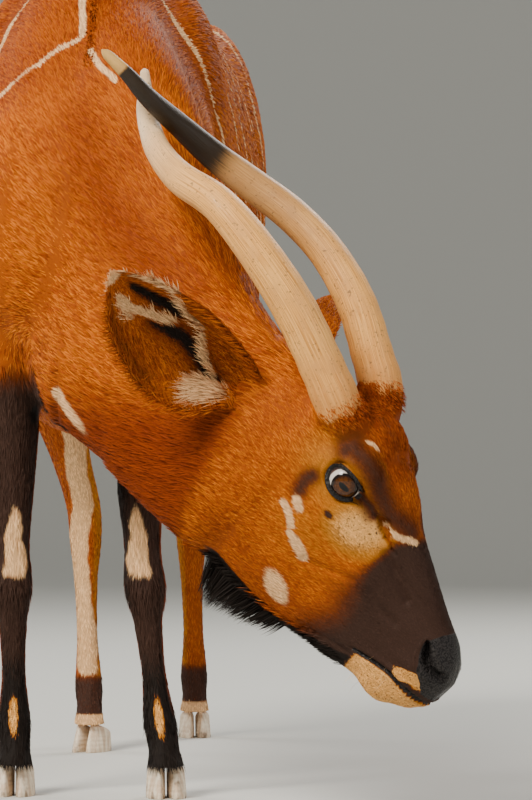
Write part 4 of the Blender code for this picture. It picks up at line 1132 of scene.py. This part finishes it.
def blend(tree, share, low, high, way="MIX"):
    """A colour between low and high; each is an (r, g, b) or a colour socket."""
    settings = {"data_type": "RGBA", "blend_type": way}
    return Socket.node(tree, "Mix", settings, {0: share, 6: low, 7: high}, 2)


def bumped(tree, shader, height, strength, distance):
    sockets = {"Strength": strength, "Distance": distance, "Height": height}
    Socket.node(tree, "Bump", {}, sockets, "Normal").to(shader.inputs["Normal"])


def coat_finish():
    made, shader = material("coat")
    tree = made.node_tree
    white, black, brown, red = [stored(tree, "marks_a", part) for part in COLOUR_PARTS]
    sand, bare, reach, luck = [stored(tree, "marks_b", part) for part in COLOUR_PARTS]
    broad = noise(tree, 7.0, 2.0)
    fine = noise(tree, 260.0, 2.0)
    specks = noise(tree, 480.0, 1.0)
    jitter = (fine - 0.5) * 0.30 + (luck - 0.5) * 0.34
    rust = blend(tree, broad.ramp(0.35, 0.70), (0.320, 0.050, 0.0), (0.420, 0.080, 0.0))
    rust = blend(tree, (luck + fine * 0.3).ramp(0.3, 1.2), rust, (0.570, 0.150, 0.002))
    rust = blend(tree, (red + jitter * 0.4).ramp(0.20, 1.0), rust, (0.200, 0.024, 0.0))
    rust = blend(tree, (sand + jitter * 0.5).ramp(0.20, 0.62), rust, (0.520, 0.195, 0.012))
    rust = blend(tree, (sand + jitter * 0.5).ramp(0.54, 1.05), rust, (0.880, 0.480, 0.150))
    rust = blend(tree, (sand * specks.ramp(0.63, 0.66)).ramp(0.55, 0.75), rust, (0.060, 0.030, 0.015))
    rust = blend(tree, (brown + jitter * 0.4).ramp(0.10, 0.50), rust, (0.120, 0.028, 0.006))
    rust = blend(tree, (brown + jitter * 0.4).ramp(0.36, 0.70), rust, (0.046, 0.023, 0.016))
    rust = blend(tree, (black + jitter * 0.6).ramp(0.35, 0.65), rust, (0.013, 0.009, 0.007))
    rust = blend(tree, (white + jitter * 0.3).ramp(0.32, 0.60), rust, (0.820, 0.520, 0.260))
    # Painted shade: the colour darkens toward each tuft's root to deepen the gaps between tufts, and
    # brightens toward the tip as painted light.
    root_shade_share = (reach + (luck - 0.5) * 0.5).ramp(-0.1, 1.0)
    root_painted_shade = blend(tree, root_shade_share, (0.50, 0.44, 0.40), (1.20, 1.20, 1.20))
    shade = blend(tree, 1.0, rust, root_painted_shade, "MULTIPLY")
    pores = noise(tree, 420.0, 1.0).ramp(0.4, 0.6)
    hide = blend(tree, pores, (0.010, 0.009, 0.009), (0.030, 0.026, 0.025))
    wet = bare.ramp(0.4, 0.6)
    blend(tree, wet, shade, hide).to(shader.inputs["Base Color"])
    (wet * -0.44 + 0.64 + (fine - 0.5) * 0.12).to(shader.inputs["Roughness"])
    shader.inputs["Specular IOR Level"].default_value = 0.11
    pebbles = Socket.node(tree, "TexVoronoi", {}, {"Scale": 520.0, "Vector": own_place(tree)}, "Distance")
    height = noise(tree, 900.0, 2.0) * 0.5 + pebbles * wet * 1.4
    bumped(tree, shader, height, 0.5, 0.0012)
    return made


COAT = coat_finish()
skin.data.materials.clear()
skin.data.materials.append(COAT)
skin.location = Vector(SHIFT)
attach(skin, "root")
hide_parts("torso", "neck", "head", "tail", *LEG_PATHS, *EARS)

# Coat: flat tapered tufts from 4 mm long on the muzzle to 20 mm on neck and belly, laid from nose
# to rump and down the legs. Each is three triangles that bend down on to the next.
CHANCE = np.random.default_rng(23)


def turned(vectors, axes, angles):
    """vectors turned about unit axes that they stand square to."""
    side = np.cross(axes, vectors)
    return vectors * np.cos(angles)[:, None] + side * np.sin(angles)[:, None]


def laid(lie, normals):
    """Directions laid flat on a surface."""
    return unit(lie - normals * np.sum(lie * normals, axis=1)[:, None])


def flow(points, normals):
    """The lie of the coat: from nose to poll, down the neck to the body, back, and down the legs."""
    x, y, z = points.T
    u, l = in_head(points)[1:]
    on_head, on_neck, neck_along, on_tail, legs = zones(points)
    back = np.column_stack([0 * x + 0.03, 0.9 + 0 * x, -0.28 - 0.5 * ramp(1.1, 0.7, z)])
    forward_chest = ramp(0.02, -0.10, y)
    back -= np.outer(forward_chest, [0, 0.5, 0.6])
    down_neck = -neck_along + np.array([0.0, 0.0, -0.30])
    cheek = ramp(-0.02, -0.12, u)
    face = -HEAD_A + np.outer(cheek, -0.30 * HEAD_U) + np.outer(np.sign(l) * 0.12, HEAD_L)
    out = back * (1 - on_neck - on_head)[:, None]
    out += down_neck * on_neck[:, None] + face * on_head[:, None]
    for share_of, far, along, share in legs.values():
        out = out * (1 - share_of)[:, None] + along * share_of[:, None]
    out = np.where(on_tail[:, None], np.array([0, 0, -1.0]), out)
    return laid(out, normals)


def coat_sizes(points, marks):
    """Tufts to a square metre, their length and their width for every vertex."""
    z = points[:, 2]
    on_head, on_neck, neck_along, on_tail, legs = zones(points)
    on_legs = np.maximum.reduce([row[0] for row in legs.values()]) * ramp(0.58, 0.44, z)
    muzzle = ramp(0.04, 0.17, in_head(points)[0]) * on_head
    number = 74e3 + 0 * z
    length = 0.0175 + 0 * z
    width = 0.0031 + 0 * z
    for share, n, long, wide in (
        (on_neck, 140e3, 0.0200, 0.0023),
        (on_head, 315e3, 0.0105, 0.0014),
        (muzzle, 420e3, 0.0048, 0.0010),
        (on_legs, 150e3, 0.0110, 0.0019),
    ):
        number += (n - number) * share
        length += (long - length) * share
        width += (wide - width) * share
    throat = on_neck * ramp(0.62, 0.45, z) + ramp(0.60, 0.52, z) * (1 - on_head) * (on_legs < 0.1)
    length += 0.010 * np.clip(throat, 0, 1)
    for side in (1, -1):
        out, height = almond(side, points)[:2]
        close = (height > 0.002) * ramp(3.0, 1.3, out)
        length += (0.0042 - length) * close
        width += (0.0009 - width) * close
        number = np.where((height > 0) & (out < 1.16), 0, number * (1 + 0.4 * close))
    number = np.where(marks[5] > 0.45, 0, number)
    number = np.where((z < 0.048) & (on_legs > 0.5), 0, number)
    return number, length, width


SKIN_FLOW = flow(SKIN_POINTS, SKIN_NORMALS)
NUMBER, LENGTH, WIDTH = coat_sizes(SKIN_POINTS, SKIN_MARKS)


def ear_coat():
    """Ears have their own lie and lengths, which replace those of the body."""
    NUMBER[FLESH_COUNT:LIDS_END] = 0
    for i, name, inner, part, share, t in ear_parts():
        root, along, facing, across = ear_axes(name)
        lie = along + np.outer((-0.55 if inner else 0.25) * t, across)
        SKIN_FLOW[part] = laid(lie, SKIN_NORMALS[part])
        LENGTH[part] = (0.012 + 0.014 * (np.abs(t) > 0.55) if inner else 0.010) * (1 - 0.4 * share)
        WIDTH[part] = 0.0013
        NUMBER[part] = np.where(share > 0.06, 300e3, 0)


ear_coat()


def unwrap(points):
    """A place from 0 to 1 for each root on an unwrap of the skin, in blocks for its parts."""
    x, y, z = points.T
    a, u, l = in_head(points)
    on_head, on_neck, neck_along, on_tail, legs = zones(points)

    def turned_share(side, front):
        return np.arctan2(side, front) / (2 * math.pi) + 0.5

    def block(uv, inside, across, up):
        return np.where(inside[:, None], np.column_stack([across, up]), uv)

    round_trunk = turned_share(x - SPINE_YAW * y, z - 0.85)
    uv = np.column_stack([0.02 + 0.40 * np.clip((y + 0.3) / 1.6, 0, 1), 0.02 + 0.58 * round_trunk])
    share = nearest(points, NECK_PATH)[2]
    stations = np.linspace(0, 1, len(NECK_PATH))
    off = points - np.array([np.interp(share, stations, axis) for axis in zip(*NECK_PATH)]).T
    side, front = [unit(np.array(axis)) for axis in ((0.55, 0.6, 0.3), (0.45, -0.4, 0.8))]
    round_neck = turned_share(off @ side, off @ front)
    uv = block(uv, on_neck > 0.5, 0.45 + 0.22 * share, 0.02 + 0.58 * round_neck)
    round_head = turned_share(l, u + 0.09)
    along_head = 0.70 + 0.28 * np.clip((a + 0.22) / 0.52, 0, 1)
    uv = block(uv, on_head > 0.5, along_head, 0.02 + 0.58 * round_head)
    for i, (name, path) in enumerate(LEG_PATHS.items()):
        path = np.array(path)[::-1]
        cx, cy = [np.interp(z, path[:, 2], path[:, k]) for k in (0, 1)]
        down_leg = 0.02 + 0.24 * i + 0.20 * np.clip(z / 0.75, 0, 1)
        uv = block(uv, legs[name][0] > 0.5, down_leg, 0.63 + 0.16 * turned_share(x - cx, y - cy))
    return block(uv, on_tail, 0.02 + 0.3 * np.clip(z - 0.4, 0, 1), 0.82 + 0.05 * round_trunk)


SKIN_UV = unwrap(SKIN_POINTS)


for i, name, inner, part, share, t in ear_parts():
    SKIN_UV[part, 0] = 0.35 + 0.30 * i + 0.14 * inner + 0.12 * share
    SKIN_UV[part, 1] = 0.83 + 0.06 * (t + 1)


def triangles(mesh):
    mesh.calc_loop_triangles()
    out = np.empty(len(mesh.loop_triangles) * 3, dtype=np.int32)
    mesh.loop_triangles.foreach_get("vertices", out)
    return out.reshape(-1, 3)


SKIN_TRIS = triangles(skin.data)


def scattered(number, lie=None, long=None):
    """Roots over the skin, with number giving how many to a square metre at each vertex."""
    lie = SKIN_FLOW if lie is None else lie
    long = LENGTH if long is None else long
    p = SKIN_POINTS[SKIN_TRIS]
    area = np.linalg.norm(np.cross(p[:, 1] - p[:, 0], p[:, 2] - p[:, 0]), axis=1) / 2
    load = area * number[SKIN_TRIS].min(axis=1)
    total = int(load.sum())
    pick = np.searchsorted(np.cumsum(load) / load.sum(), np.sort(CHANCE.random(total)))
    pick = np.minimum(pick, len(SKIN_TRIS) - 1)
    r1, r2 = np.sqrt(CHANCE.random(total)), CHANCE.random(total)
    bary = np.column_stack([1 - r1, r1 * (1 - r2), r1 * r2])
    corners = SKIN_TRIS[pick]

    def mixed(values):
        return np.einsum("nk,nk...->n...", bary, values[corners])

    return {
        "root": mixed(SKIN_POINTS),
        "normal": unit(mixed(SKIN_NORMALS)),
        "flow": unit(mixed(lie)),
        "length": mixed(long),
        "width": mixed(WIDTH),
        "marks": mixed(SKIN_MARKS.T).T,
        "uv": SKIN_UV[corners[:, 0]],
        "ear": corners[:, 0] >= LIDS_END,
    }


UV_PATCH = 0.003


def ribbons(name, centres, wide, halves, marks, uv):
    """One joined mesh of tapered tufts: rows of centres with half widths, and a tip."""
    steps, count = len(halves), len(uv)
    luck = CHANCE.random(count)
    rows, reach, offsets, levels = [], [], [], []
    for i in range(steps):
        half = halves[i][:, None]
        rows += [centres[i] - wide * half, centres[i] + wide * half]
        reach += [i / steps] * 2
        offsets += [(-0.5, i / steps), (0.5, i / steps)]
        levels += [i, i]
    rows.append(centres[steps])
    reach.append(1.0)
    offsets.append((0.0, 1.0))
    levels.append(steps)
    per = len(rows)
    verts = np.stack(rows, axis=1).reshape(-1, 3)
    faces = []
    for i in range(steps - 1):
        k = 2 * i
        faces += [(k, k + 1, k + 3), (k, k + 3, k + 2)]
    faces.append((per - 3, per - 2, per - 1))
    index = (np.arange(count)[:, None, None] * per + np.array(faces)[None]).reshape(-1, 3)
    mesh = bpy.data.meshes.new(name)
    mesh.vertices.add(len(verts))
    mesh.vertices.foreach_set("co", verts.ravel())
    mesh.loops.add(index.size)
    mesh.loops.foreach_set("vertex_index", index.ravel())
    mesh.polygons.add(len(index))
    mesh.polygons.foreach_set("loop_start", np.arange(0, index.size, 3))
    mesh.update(calc_edges=True)
    mesh.polygons.foreach_set("use_smooth", np.ones(len(index), dtype=bool))
    spread = np.stack([marks[k] for k in levels], axis=2).reshape(len(marks[0]), -1)
    write_marks(mesh, spread, np.tile(reach, count), np.repeat(luck, per))
    layer = mesh.uv_layers.new(name="OFBake")
    patch = np.array(offsets) * UV_PATCH
    spots = (uv[:, None, :] + patch[None]).reshape(-1, 2)
    layer.data.foreach_set("uv", spots[index.ravel()].ravel())
    obj = link(bpy.data.objects.new(name, mesh))
    mesh.materials.append(COAT)
    obj.location = Vector(SHIFT)
    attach(obj, "root")
    return obj


def short_tufts(name, tufts, steps=2, sway=0.12, lift=0.15, slip=0.0016):
    """Short coat: each tuft leaves the skin at a low angle and bends down on to the next."""
    root, normal, lie = tufts["root"], tufts["normal"], tufts["flow"]
    count = len(root)
    clump = np.sin(root @ np.array([310.0, 170.0, 230.0])) * np.sin(root @ np.array([-140.0, 260.0, 190.0]))
    lie = turned(lie, normal, CHANCE.normal(0, sway, count) + 0.10 * clump)
    wide = turned(np.cross(normal, lie), lie, CHANCE.normal(0, 0.30, count))
    length = tufts["length"] * CHANCE.uniform(0.75, 1.2, count)
    width = tufts["width"] * CHANCE.uniform(0.8, 1.25, count)
    elevation = lift * CHANCE.uniform(0.6, 1.5, count) * (1 + 1.2 * tufts["ear"])
    place = root - normal * (0.06 * length)[:, None]
    stray = lie * CHANCE.normal(0, slip, count)[:, None]
    centres, halves, marks = [place], [], []
    for i in range(steps):
        t = i / steps
        halves.append(width / 2 * (1 - t**1.4 * 0.75))
        tilt = elevation * (1 - 1.25 * t)
        heading = lie * np.cos(tilt)[:, None] + normal * np.sin(tilt)[:, None]
        place = place + heading * (length / steps)[:, None]
        centres.append(place)
    for centre in centres:
        here = flesh_marks(centre + stray)
        marks.append(np.where(tufts["ear"], tufts["marks"], here))
    ribbons(name, centres, wide, halves, marks, tufts["uv"])


TUFTS_A_PIECE = 62000


def short_coat():
    tufts = scattered(NUMBER)
    total = len(tufts["root"])
    order = np.lexsort((tufts["root"][:, 1], tufts["ear"]))
    pieces = math.ceil(total / TUFTS_A_PIECE)
    for i, part in enumerate(np.array_split(order, pieces)):
        own = {key: value[..., part] if key == "marks" else value[part] for key, value in tufts.items()}
        short_tufts(f"coat_{i + 1}", own)


short_coat()

# Long hair: the crest of 50 mm along the spine, black beard, tail tuft, tufts in the ears,
# rust hair round the horns and thin pale whiskers. Locks form where neighbours lean together.
CREST_HALF = 0.012
LONG_STEPS = 4


LOCK_WAVES = np.array([[190.0, 60.0, 90.0], [70.0, 210.0, 50.0], [110.0, 80.0, 170.0]])


def long_hair(name, number, start, end, length, width, colours=None, loose=0.16):
    """Hair that leaves along start and bends over to end.

    Both are pairs: how much of the skin's normal, and a vector to add. The vector, like the
    length, is one value or a function of the roots. colours gives the marks that aren't 0.
    """
    picks = scattered(number)
    root, normal = picks["root"], picks["normal"]
    count = len(root)

    def worked(value):
        return value(root) if callable(value) else value

    lean = np.sin(root @ LOCK_WAVES) * 0.16 + CHANCE.normal(0, loose, (count, 3))
    start, end = [normal * lift + worked(vector) for lift, vector in (start, end)]
    start, end = unit(start), unit(end + lean)
    reach = worked(length) * CHANCE.uniform(0.70, 1.15, count)
    place = root - start * 0.002
    centres, halves = [place], []
    for i in range(LONG_STEPS):
        t = i / LONG_STEPS
        halves.append(width / 2 * (1 - t**1.6 * 0.8) * CHANCE.uniform(0.7, 1.2, count))
        heading = unit(start * (1 - t) + end * t)
        place = place + heading * (reach / LONG_STEPS)[:, None]
        centres.append(place)
    wide = unit(np.cross(start, end + 0.01) + CHANCE.normal(0, 0.45, (count, 3)))
    marks = picks["marks"]
    if colours:
        marks = np.zeros_like(marks)
        for row, share in colours(root).items():
            marks[row] = share
    ribbons(name, centres, wide, halves, [marks] * (LONG_STEPS + 1), picks["uv"])


def pale_hair(root):
    return {0: 1.0}


def black_hair(root):
    return {1: 1.0}


def crest_hair():
    """The standing crest, cream where a stripe crosses it, and the short mane before it."""
    x, y, z = SKIN_POINTS.T
    side = np.abs(x - SPINE_YAW * y - 0.003)
    on_top = (z > 1.0) * (SKIN_NORMALS[:, 2] > 0.2)
    number = 250e3 * ramp(CREST_HALF + 0.004, CREST_HALF - 0.003, side) * on_top
    number *= ramp(0.02, 0.06, y) * ramp(1.12, 1.07, y)

    def colours(root):
        gaps = np.min([np.abs(root[:, 1] - row[0]) for row in STRIPES], axis=0)
        pale = (CHANCE.random(len(root)) < 0.08) | (gaps < 0.012)
        return {0: pale, 1: ~pale}

    def length(root):
        return 0.018 + 0.034 * ramp(0.03, 0.22, root[:, 1]) * ramp(1.12, 0.95, root[:, 1])

    back = np.array([0.03, 0.95, 0.16])
    long_hair("crest", number, (0.8, back * 0.5), (0, back), length, 0.0022, colours)
    mane = 150e3 * ramp(0.011, 0.005, np.abs(x - 0.002)) * on_top
    mane = mane * ramp(-0.15, -0.12, y) * ramp(0.05, 0.03, y)

    def mane_colours(root):
        return {3: 0.6, 0: 0.9 * (root[:, 0] < -0.006) * (CHANCE.random(len(root)) < 0.8)}

    down = np.array([0.10, -0.55, -0.30])
    long_hair("mane", mane, (0.5, down), (0, down), 0.012, 0.0016, mane_colours)


def beard_hair():
    """The black beard under the jaw's angle, and short hair along the rest of the jaw."""
    a, u, l = in_head(SKIN_POINTS)
    on_jaw = (u < -0.18) * near_head(SKIN_POINTS)
    number = 300e3 * ramp(0.028, 0.016, np.abs(l)) * on_jaw * ramp(-0.075, -0.055, a)
    number = number * ramp(0.075, 0.050, a)

    def fall(root):
        drop = ramp(0.0, -0.06, in_head(root)[0])[:, None]
        return (-HEAD_U * 0.85 - HEAD_A * 0.22) * (1 - drop) + (-HEAD_U * 0.65 + HEAD_A * 0.55) * drop

    def early_fall(root):
        return fall(root) * 0.7

    def length(root):
        return 0.056 - 0.020 * ramp(-0.02, 0.07, in_head(root)[0])

    long_hair("beard", number, (0.4, early_fall), (0, fall), length, 0.0016, black_hair, 0.10)
    jaw = 260e3 * ramp(0.034, 0.022, np.abs(l)) * on_jaw * ramp(-0.16, -0.12, a) * ramp(0.165, 0.140, a)

    def jaw_length(root):
        return 0.019 - 0.006 * ramp(0.0, 0.15, in_head(root)[0])

    back = -HEAD_A * 0.75 - HEAD_U * 0.55
    long_hair("jaw_hair", jaw, (0.3, back), (0, back), jaw_length, 0.0016)


def tail_hair():
    number = 260e3 * (zones(SKIN_POINTS)[3]) * ramp(0.71, 0.68, SKIN_POINTS[:, 2])
    down = np.array([0.0, 0.02, -1.0])
    long_hair("tail_tuft", number, (0.35, down * 0.7), (0.10, down), 0.105, 0.0024, black_hair, 0.06)


def ear_hair():
    """Long cream hair on the pale row and base tuft, soft fringes below."""
    number, long = np.zeros((2, len(SKIN_POINTS)))
    lie = SKIN_FLOW.copy()
    for i, name, inner, part, share, t in ear_parts():
        root, along, facing, across = ear_axes(name)
        pale = SKIN_MARKS[0, part] > 0.4
        low_part = ramp(-0.35, -0.70, t)
        number[part] = inner * (60e3 + 150e3 * pale + 150e3 * low_part) * ramp(0.06, 0.12, share)
        lie[part] = along * 0.9 + np.outer(-0.75 * low_part + 0.3 * ramp(0.5, 0.9, t), across)
        long[part] = (0.012 + 0.011 * pale + 0.011 * low_part) * ramp(1.1, 0.75, share)
    short_tufts("ear_hair", scattered(number, lie, long), 3, 0.20, 0.26)


def head_hair():
    """Rust hair between the horns and pale whiskers at the chin."""
    a, u, l = in_head(SKIN_POINTS)
    on_head = near_head(SKIN_POINTS)
    poll = 200e3 * on_head * ramp(-0.155, -0.125, a) * ramp(-0.045, -0.065, a) * ramp(0.030, 0.045, u)
    down = HEAD_A * 0.9
    long_hair("forelock", poll, (0.5, down * 0.6), (0.05, down), 0.011, 0.0015)
    chin = 5e3 * on_head * ramp(0.175, 0.190, a) * (u < level(MOUTH, a) + 0.010) * (np.abs(l) < 0.045)
    sag = np.array([0.1, -0.1, -0.6])
    long_hair("whiskers", chin, (1, sag * 0.3), (0.7, sag), 0.034, 0.0005, pale_hair, 0.25)


crest_hair()
beard_hair()
tail_hair()
ear_hair()
head_hair()

# Eyes: wet balls 47 mm across, brown round a level oval pupil, with white showing behind.
# Each sits in its socket, so that only the part between the lids shows.
EYE_RINGS = 48


def parts_of_place(tree):
    place = own_place(tree)
    return [Socket.node(tree, "SeparateXYZ", {}, {0: place}, k) for k in range(3)]


def eye_finish():
    made, shader = material("eye")
    tree = made.node_tree
    x, y, z = parts_of_place(tree)
    dx, dy = x - 0.0042, y + 0.0018
    out = (dx * dx + dy * dy).root()
    pupil = ((dx * dx) * 0.22 + dy * dy).root()
    streaks = (noise(tree, 340.0, 3.0) + out * 26).ramp(0.45, 0.95)
    iris = blend(tree, streaks, (0.120, 0.036, 0.005), (0.030, 0.009, 0.002))
    colour = blend(tree, pupil.ramp(0.0034, 0.0044), (0.002, 0.002, 0.003), iris)
    colour = blend(tree, out.ramp(0.0132, 0.0152), colour, (0.008, 0.005, 0.004))
    colour = blend(tree, out.ramp(0.0172, 0.0184), colour, (0.62, 0.57, 0.52))
    colour = blend(tree, out.ramp(0.0222, 0.0236), colour, (0.05, 0.03, 0.028))
    colour.to(shader.inputs["Base Color"])
    shader.inputs["Roughness"].default_value = 0.06
    shader.inputs["Specular IOR Level"].default_value = 0.30
    return made


EYE = eye_finish()
for name, side in (("eye_left", 1), ("eye_right", -1)):
    centre, long, up, gaze = eye_frame(side)
    bm = bmesh.new()
    bmesh.ops.create_uvsphere(bm, u_segments=EYE_RINGS * 2, v_segments=EYE_RINGS, radius=EYE_RADIUS)
    for face in bm.faces:
        face.smooth = True
    mesh = bpy.data.meshes.new(name + "_ball")
    bm.to_mesh(mesh)
    bm.free()
    mesh.materials.append(EYE)
    eye = link(bpy.data.objects.new(name + "_ball", mesh))
    axes = np.column_stack([long, up, gaze])
    if np.linalg.det(axes) < 0:
        axes[:, 1] *= -1
    turn = Matrix([[*row] for row in axes]).to_4x4()
    eye.matrix_world = Matrix.Translation(Vector(centre + SHIFT)) @ turn
    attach(eye, "root")
    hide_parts(name)

# Horns: hard sheaths of horn, 0.55 to 0.6 m along the curve, with one open turn and a keel.
# They are cream and tan, the left one black-brown toward its tip, and their roots are sunk in the head.
HORN_SIDES = 48
HORN_TURNS = 0.9
HORN_KEEL = 0.16


def horn_finish():
    made, shader = material("horn")
    tree = made.node_tree
    share, dark_tip, across, far_horn = [stored(tree, "marks_a", part) for part in COLOUR_PARTS]
    along = Socket.node(tree, "CombineXYZ", {}, {0: share * 5.0, 1: across * 26.0})
    streak = noise(tree, 2.2, 5.0, along, 0.6)
    rings = noise(tree, 34.0, 4.0)
    specks = noise(tree, 240.0, 3.0)
    pale = blend(tree, streak.ramp(0.35, 0.65), (0.540, 0.220, 0.040), (0.920, 0.480, 0.130))
    pale = blend(tree, rings.ramp(0.50, 0.75), pale, (0.660, 0.320, 0.090))
    pale = blend(tree, share.ramp(0.26, 0.0), pale, (0.600, 0.240, 0.055))
    pale = blend(tree, share.ramp(0.45, 0.80) * (1 - far_horn) * 0.75, pale, (0.840, 0.640, 0.420))
    pale = blend(tree, share.ramp(0.22, 0.55) * far_horn * 0.6, pale, (0.240, 0.130, 0.055))
    pale = blend(tree, (specks - 0.60).ramp(0.0, 0.10) * 0.7, pale, (0.130, 0.070, 0.032))
    pale = blend(tree, share.ramp(0.90, 0.95) * far_horn, pale, (0.520, 0.300, 0.080))
    dark = blend(tree, (dark_tip + (streak - 0.5) * 0.5).ramp(0.35, 0.65), pale, (0.016, 0.008, 0.002))
    dark.to(shader.inputs["Base Color"])
    (streak * 0.18 + 0.38).to(shader.inputs["Roughness"])
    shader.inputs["Specular IOR Level"].default_value = 0.30
    shader.inputs["Coat Weight"].default_value = 0.04
    bumped(tree, shader, streak * 0.7 + rings * 0.6 + specks * 0.15, 0.55, 0.0022)
    return made


HORN = horn_finish()


def tube_faces(rings, sides):
    """Quads round a tube of rings of vertices, and its last ring as a cap."""
    faces = []
    for low_row in range(0, (rings - 1) * sides, sides):
        for k in range(sides):
            n = (k + 1) % sides
            faces.append((low_row + k, low_row + n, low_row + sides + n, low_row + sides + k))
    faces.append(tuple(range((rings - 1) * sides, rings * sides)))
    return faces


def horn_mesh(name):
    rows = spline(HORNS[name], 9)
    path = np.array([head_point(a, u, l) for a, u, l, r in rows])
    count = len(rows)
    handed = 1 if name == "horn_right" else -1
    side = None
    verts, marks = [], []
    angles = np.arange(HORN_SIDES) / HORN_SIDES * 2 * math.pi
    for i, centre in enumerate(path):
        along = unit(path[min(i + 1, count - 1)] - path[max(i - 1, 0)])
        side = np.cross(along, HEAD_U) if side is None else side
        side = unit(side - along * side.dot(along))
        up = np.cross(side, along)
        t = i / (count - 1)
        turn = handed * HORN_TURNS * 2 * math.pi * t**1.5
        keel = np.maximum(0, np.cos(angles - turn)) ** 3
        groove = 0.02 * np.sin(angles * 7 + t * 9) * (1 - t)
        ring = 1 + 0.022 * math.sin(t * 150) * max(0.0, 1 - 2.2 * t)
        radius = rows[i][3] * (0.95 + HORN_KEEL * keel + groove * 0.5) * ring
        radius = radius * math.sqrt(max(0.03, 1 - max(0.0, (t - 0.975) / 0.025) ** 2))
        for angle, r in zip(angles, radius):
            verts.append(centre + side * (r * math.cos(angle)) + up * (r * math.sin(angle)))
            if name == "horn_right":
                dark = 0.12 * ramp(0.60, 0.8, t) * ramp(0.92, 0.84, t)
            else:
                dark = 0.95 * ramp(0.48, 0.72, t) * ramp(0.94, 0.90, t)
            marks.append((t, dark, abs(angle / math.pi - 1), float(name == "horn_left")))
    mesh = bpy.data.meshes.new(name + "_sheath")
    mesh.from_pydata([tuple(v) for v in verts], [], tube_faces(count, HORN_SIDES))
    layer = mesh.attributes.new("marks_a", "FLOAT_COLOR", "POINT")
    layer.data.foreach_set("color", np.array(marks, dtype=np.float32).ravel())
    mesh.materials.append(HORN)
    for face in mesh.polygons:
        face.use_smooth = True
    obj = link(bpy.data.objects.new(name + "_sheath", mesh))
    obj.location = Vector(SHIFT)
    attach(obj, "root")
    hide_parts(name)


for name in HORNS:
    horn_mesh(name)

# Hooves: two pale claws of horn to a foot, 85 mm long and 48 mm high, with growth rings.
# Each stands on its flat sole, with the skin of the foot closed round its upper edge.
HOOF_HEIGHT = 0.048
HOOF_LENGTH = 0.085
CLAW_WIDTH = 0.030
CORONET_TILT = 0.35
CORONET_BACK = 0.016
CORONET_NARROWING = 0.30
CLAW_INNER = 0.80
CLEFT_HALF = 0.0012
CLAW_SIDES = 40
CLAW_LEVELS = 14
FEET = {
    "front_left": ((0.106, -0.020, 0.0), 0.10, 1.00),
    "front_right": ((-0.106, 0.018, 0.0), -0.06, 1.00),
    "rear_left": ((0.125, 1.262, 0.0), 0.08, 0.94),
    "rear_right": ((-0.037, 0.908, 0.0), -0.42, 0.94),
}


def hoof_finish():
    made, shader = material("hoof")
    tree = made.node_tree
    x, y, z = parts_of_place(tree)
    stretched = Socket.node(tree, "CombineXYZ", {}, {0: x, 1: y, 2: z * 0.18})
    grain = noise(tree, 150.0, 4.0, stretched)
    wear = noise(tree, 40.0, 3.0)
    colour = blend(tree, grain.ramp(0.35, 0.65), (0.620, 0.450, 0.300), (0.840, 0.720, 0.560))
    colour = blend(tree, z.ramp(0.036, 0.052), colour, (0.520, 0.300, 0.210))
    colour = blend(tree, (wear - z * 6).ramp(0.45, 0.62), colour, (0.230, 0.150, 0.090))
    colour.to(shader.inputs["Base Color"])
    (grain * 0.2 + 0.42).to(shader.inputs["Roughness"])
    rings = grain.maths("SINE", z * 900 + wear * 5)
    bumped(tree, shader, rings * 0.4 + grain, 0.45, 0.0012)
    return made


HOOF = hoof_finish()


def claw(foot, label, outward):
    centre, heading, size = FEET[foot]
    turn = np.array(Matrix.Rotation(heading, 3, "Z"))
    verts = []
    for level_at in range(CLAW_LEVELS):
        t = level_at / (CLAW_LEVELS - 1)
        edge = 1 - 0.05 * (1 - min(1.0, t * 6)) ** 2 - 0.10 * max(0.0, (t - 0.9) * 10) ** 2
        for k in range(CLAW_SIDES):
            angle = 2 * math.pi * k / CLAW_SIDES
            across, along = math.cos(angle), math.sin(angle)
            toe = max(0.0, along)
            half = CLAW_WIDTH / 2 * (1 - 0.30 * toe**2) * (1 - 0.10 * t)
            x = half * across * edge * (CLAW_INNER if across * outward < 0 else 1.0)
            y = -along * HOOF_LENGTH * 0.5 * (1 - CORONET_NARROWING * t) * edge
            y += CORONET_BACK * (0.4 + 0.6 * t)
            x += outward * (half * CLAW_INNER + CLEFT_HALF + 0.0020 * toe)
            z = HOOF_HEIGHT * t * (1 - CORONET_TILT * (0.5 - 0.5 * along))
            verts.append(np.array(centre) + turn @ np.array([x, y, z]) * size)
    faces = tube_faces(CLAW_LEVELS, CLAW_SIDES) + [tuple(range(CLAW_SIDES))[::-1]]
    node = f"hoof_{foot}_{label}_claw"
    mesh = bpy.data.meshes.new(node + "_wall")
    mesh.from_pydata([tuple(v) for v in verts], [], faces)
    mesh.materials.append(HOOF)
    for face in list(mesh.polygons)[:-2]:
        face.use_smooth = True
    obj = link(bpy.data.objects.new(node + "_wall", mesh))
    obj.location = Vector(SHIFT)
    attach(obj, "root")
    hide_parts(node)


for foot in FEET:
    claw(foot, "left", 1)
    claw(foot, "right", -1)
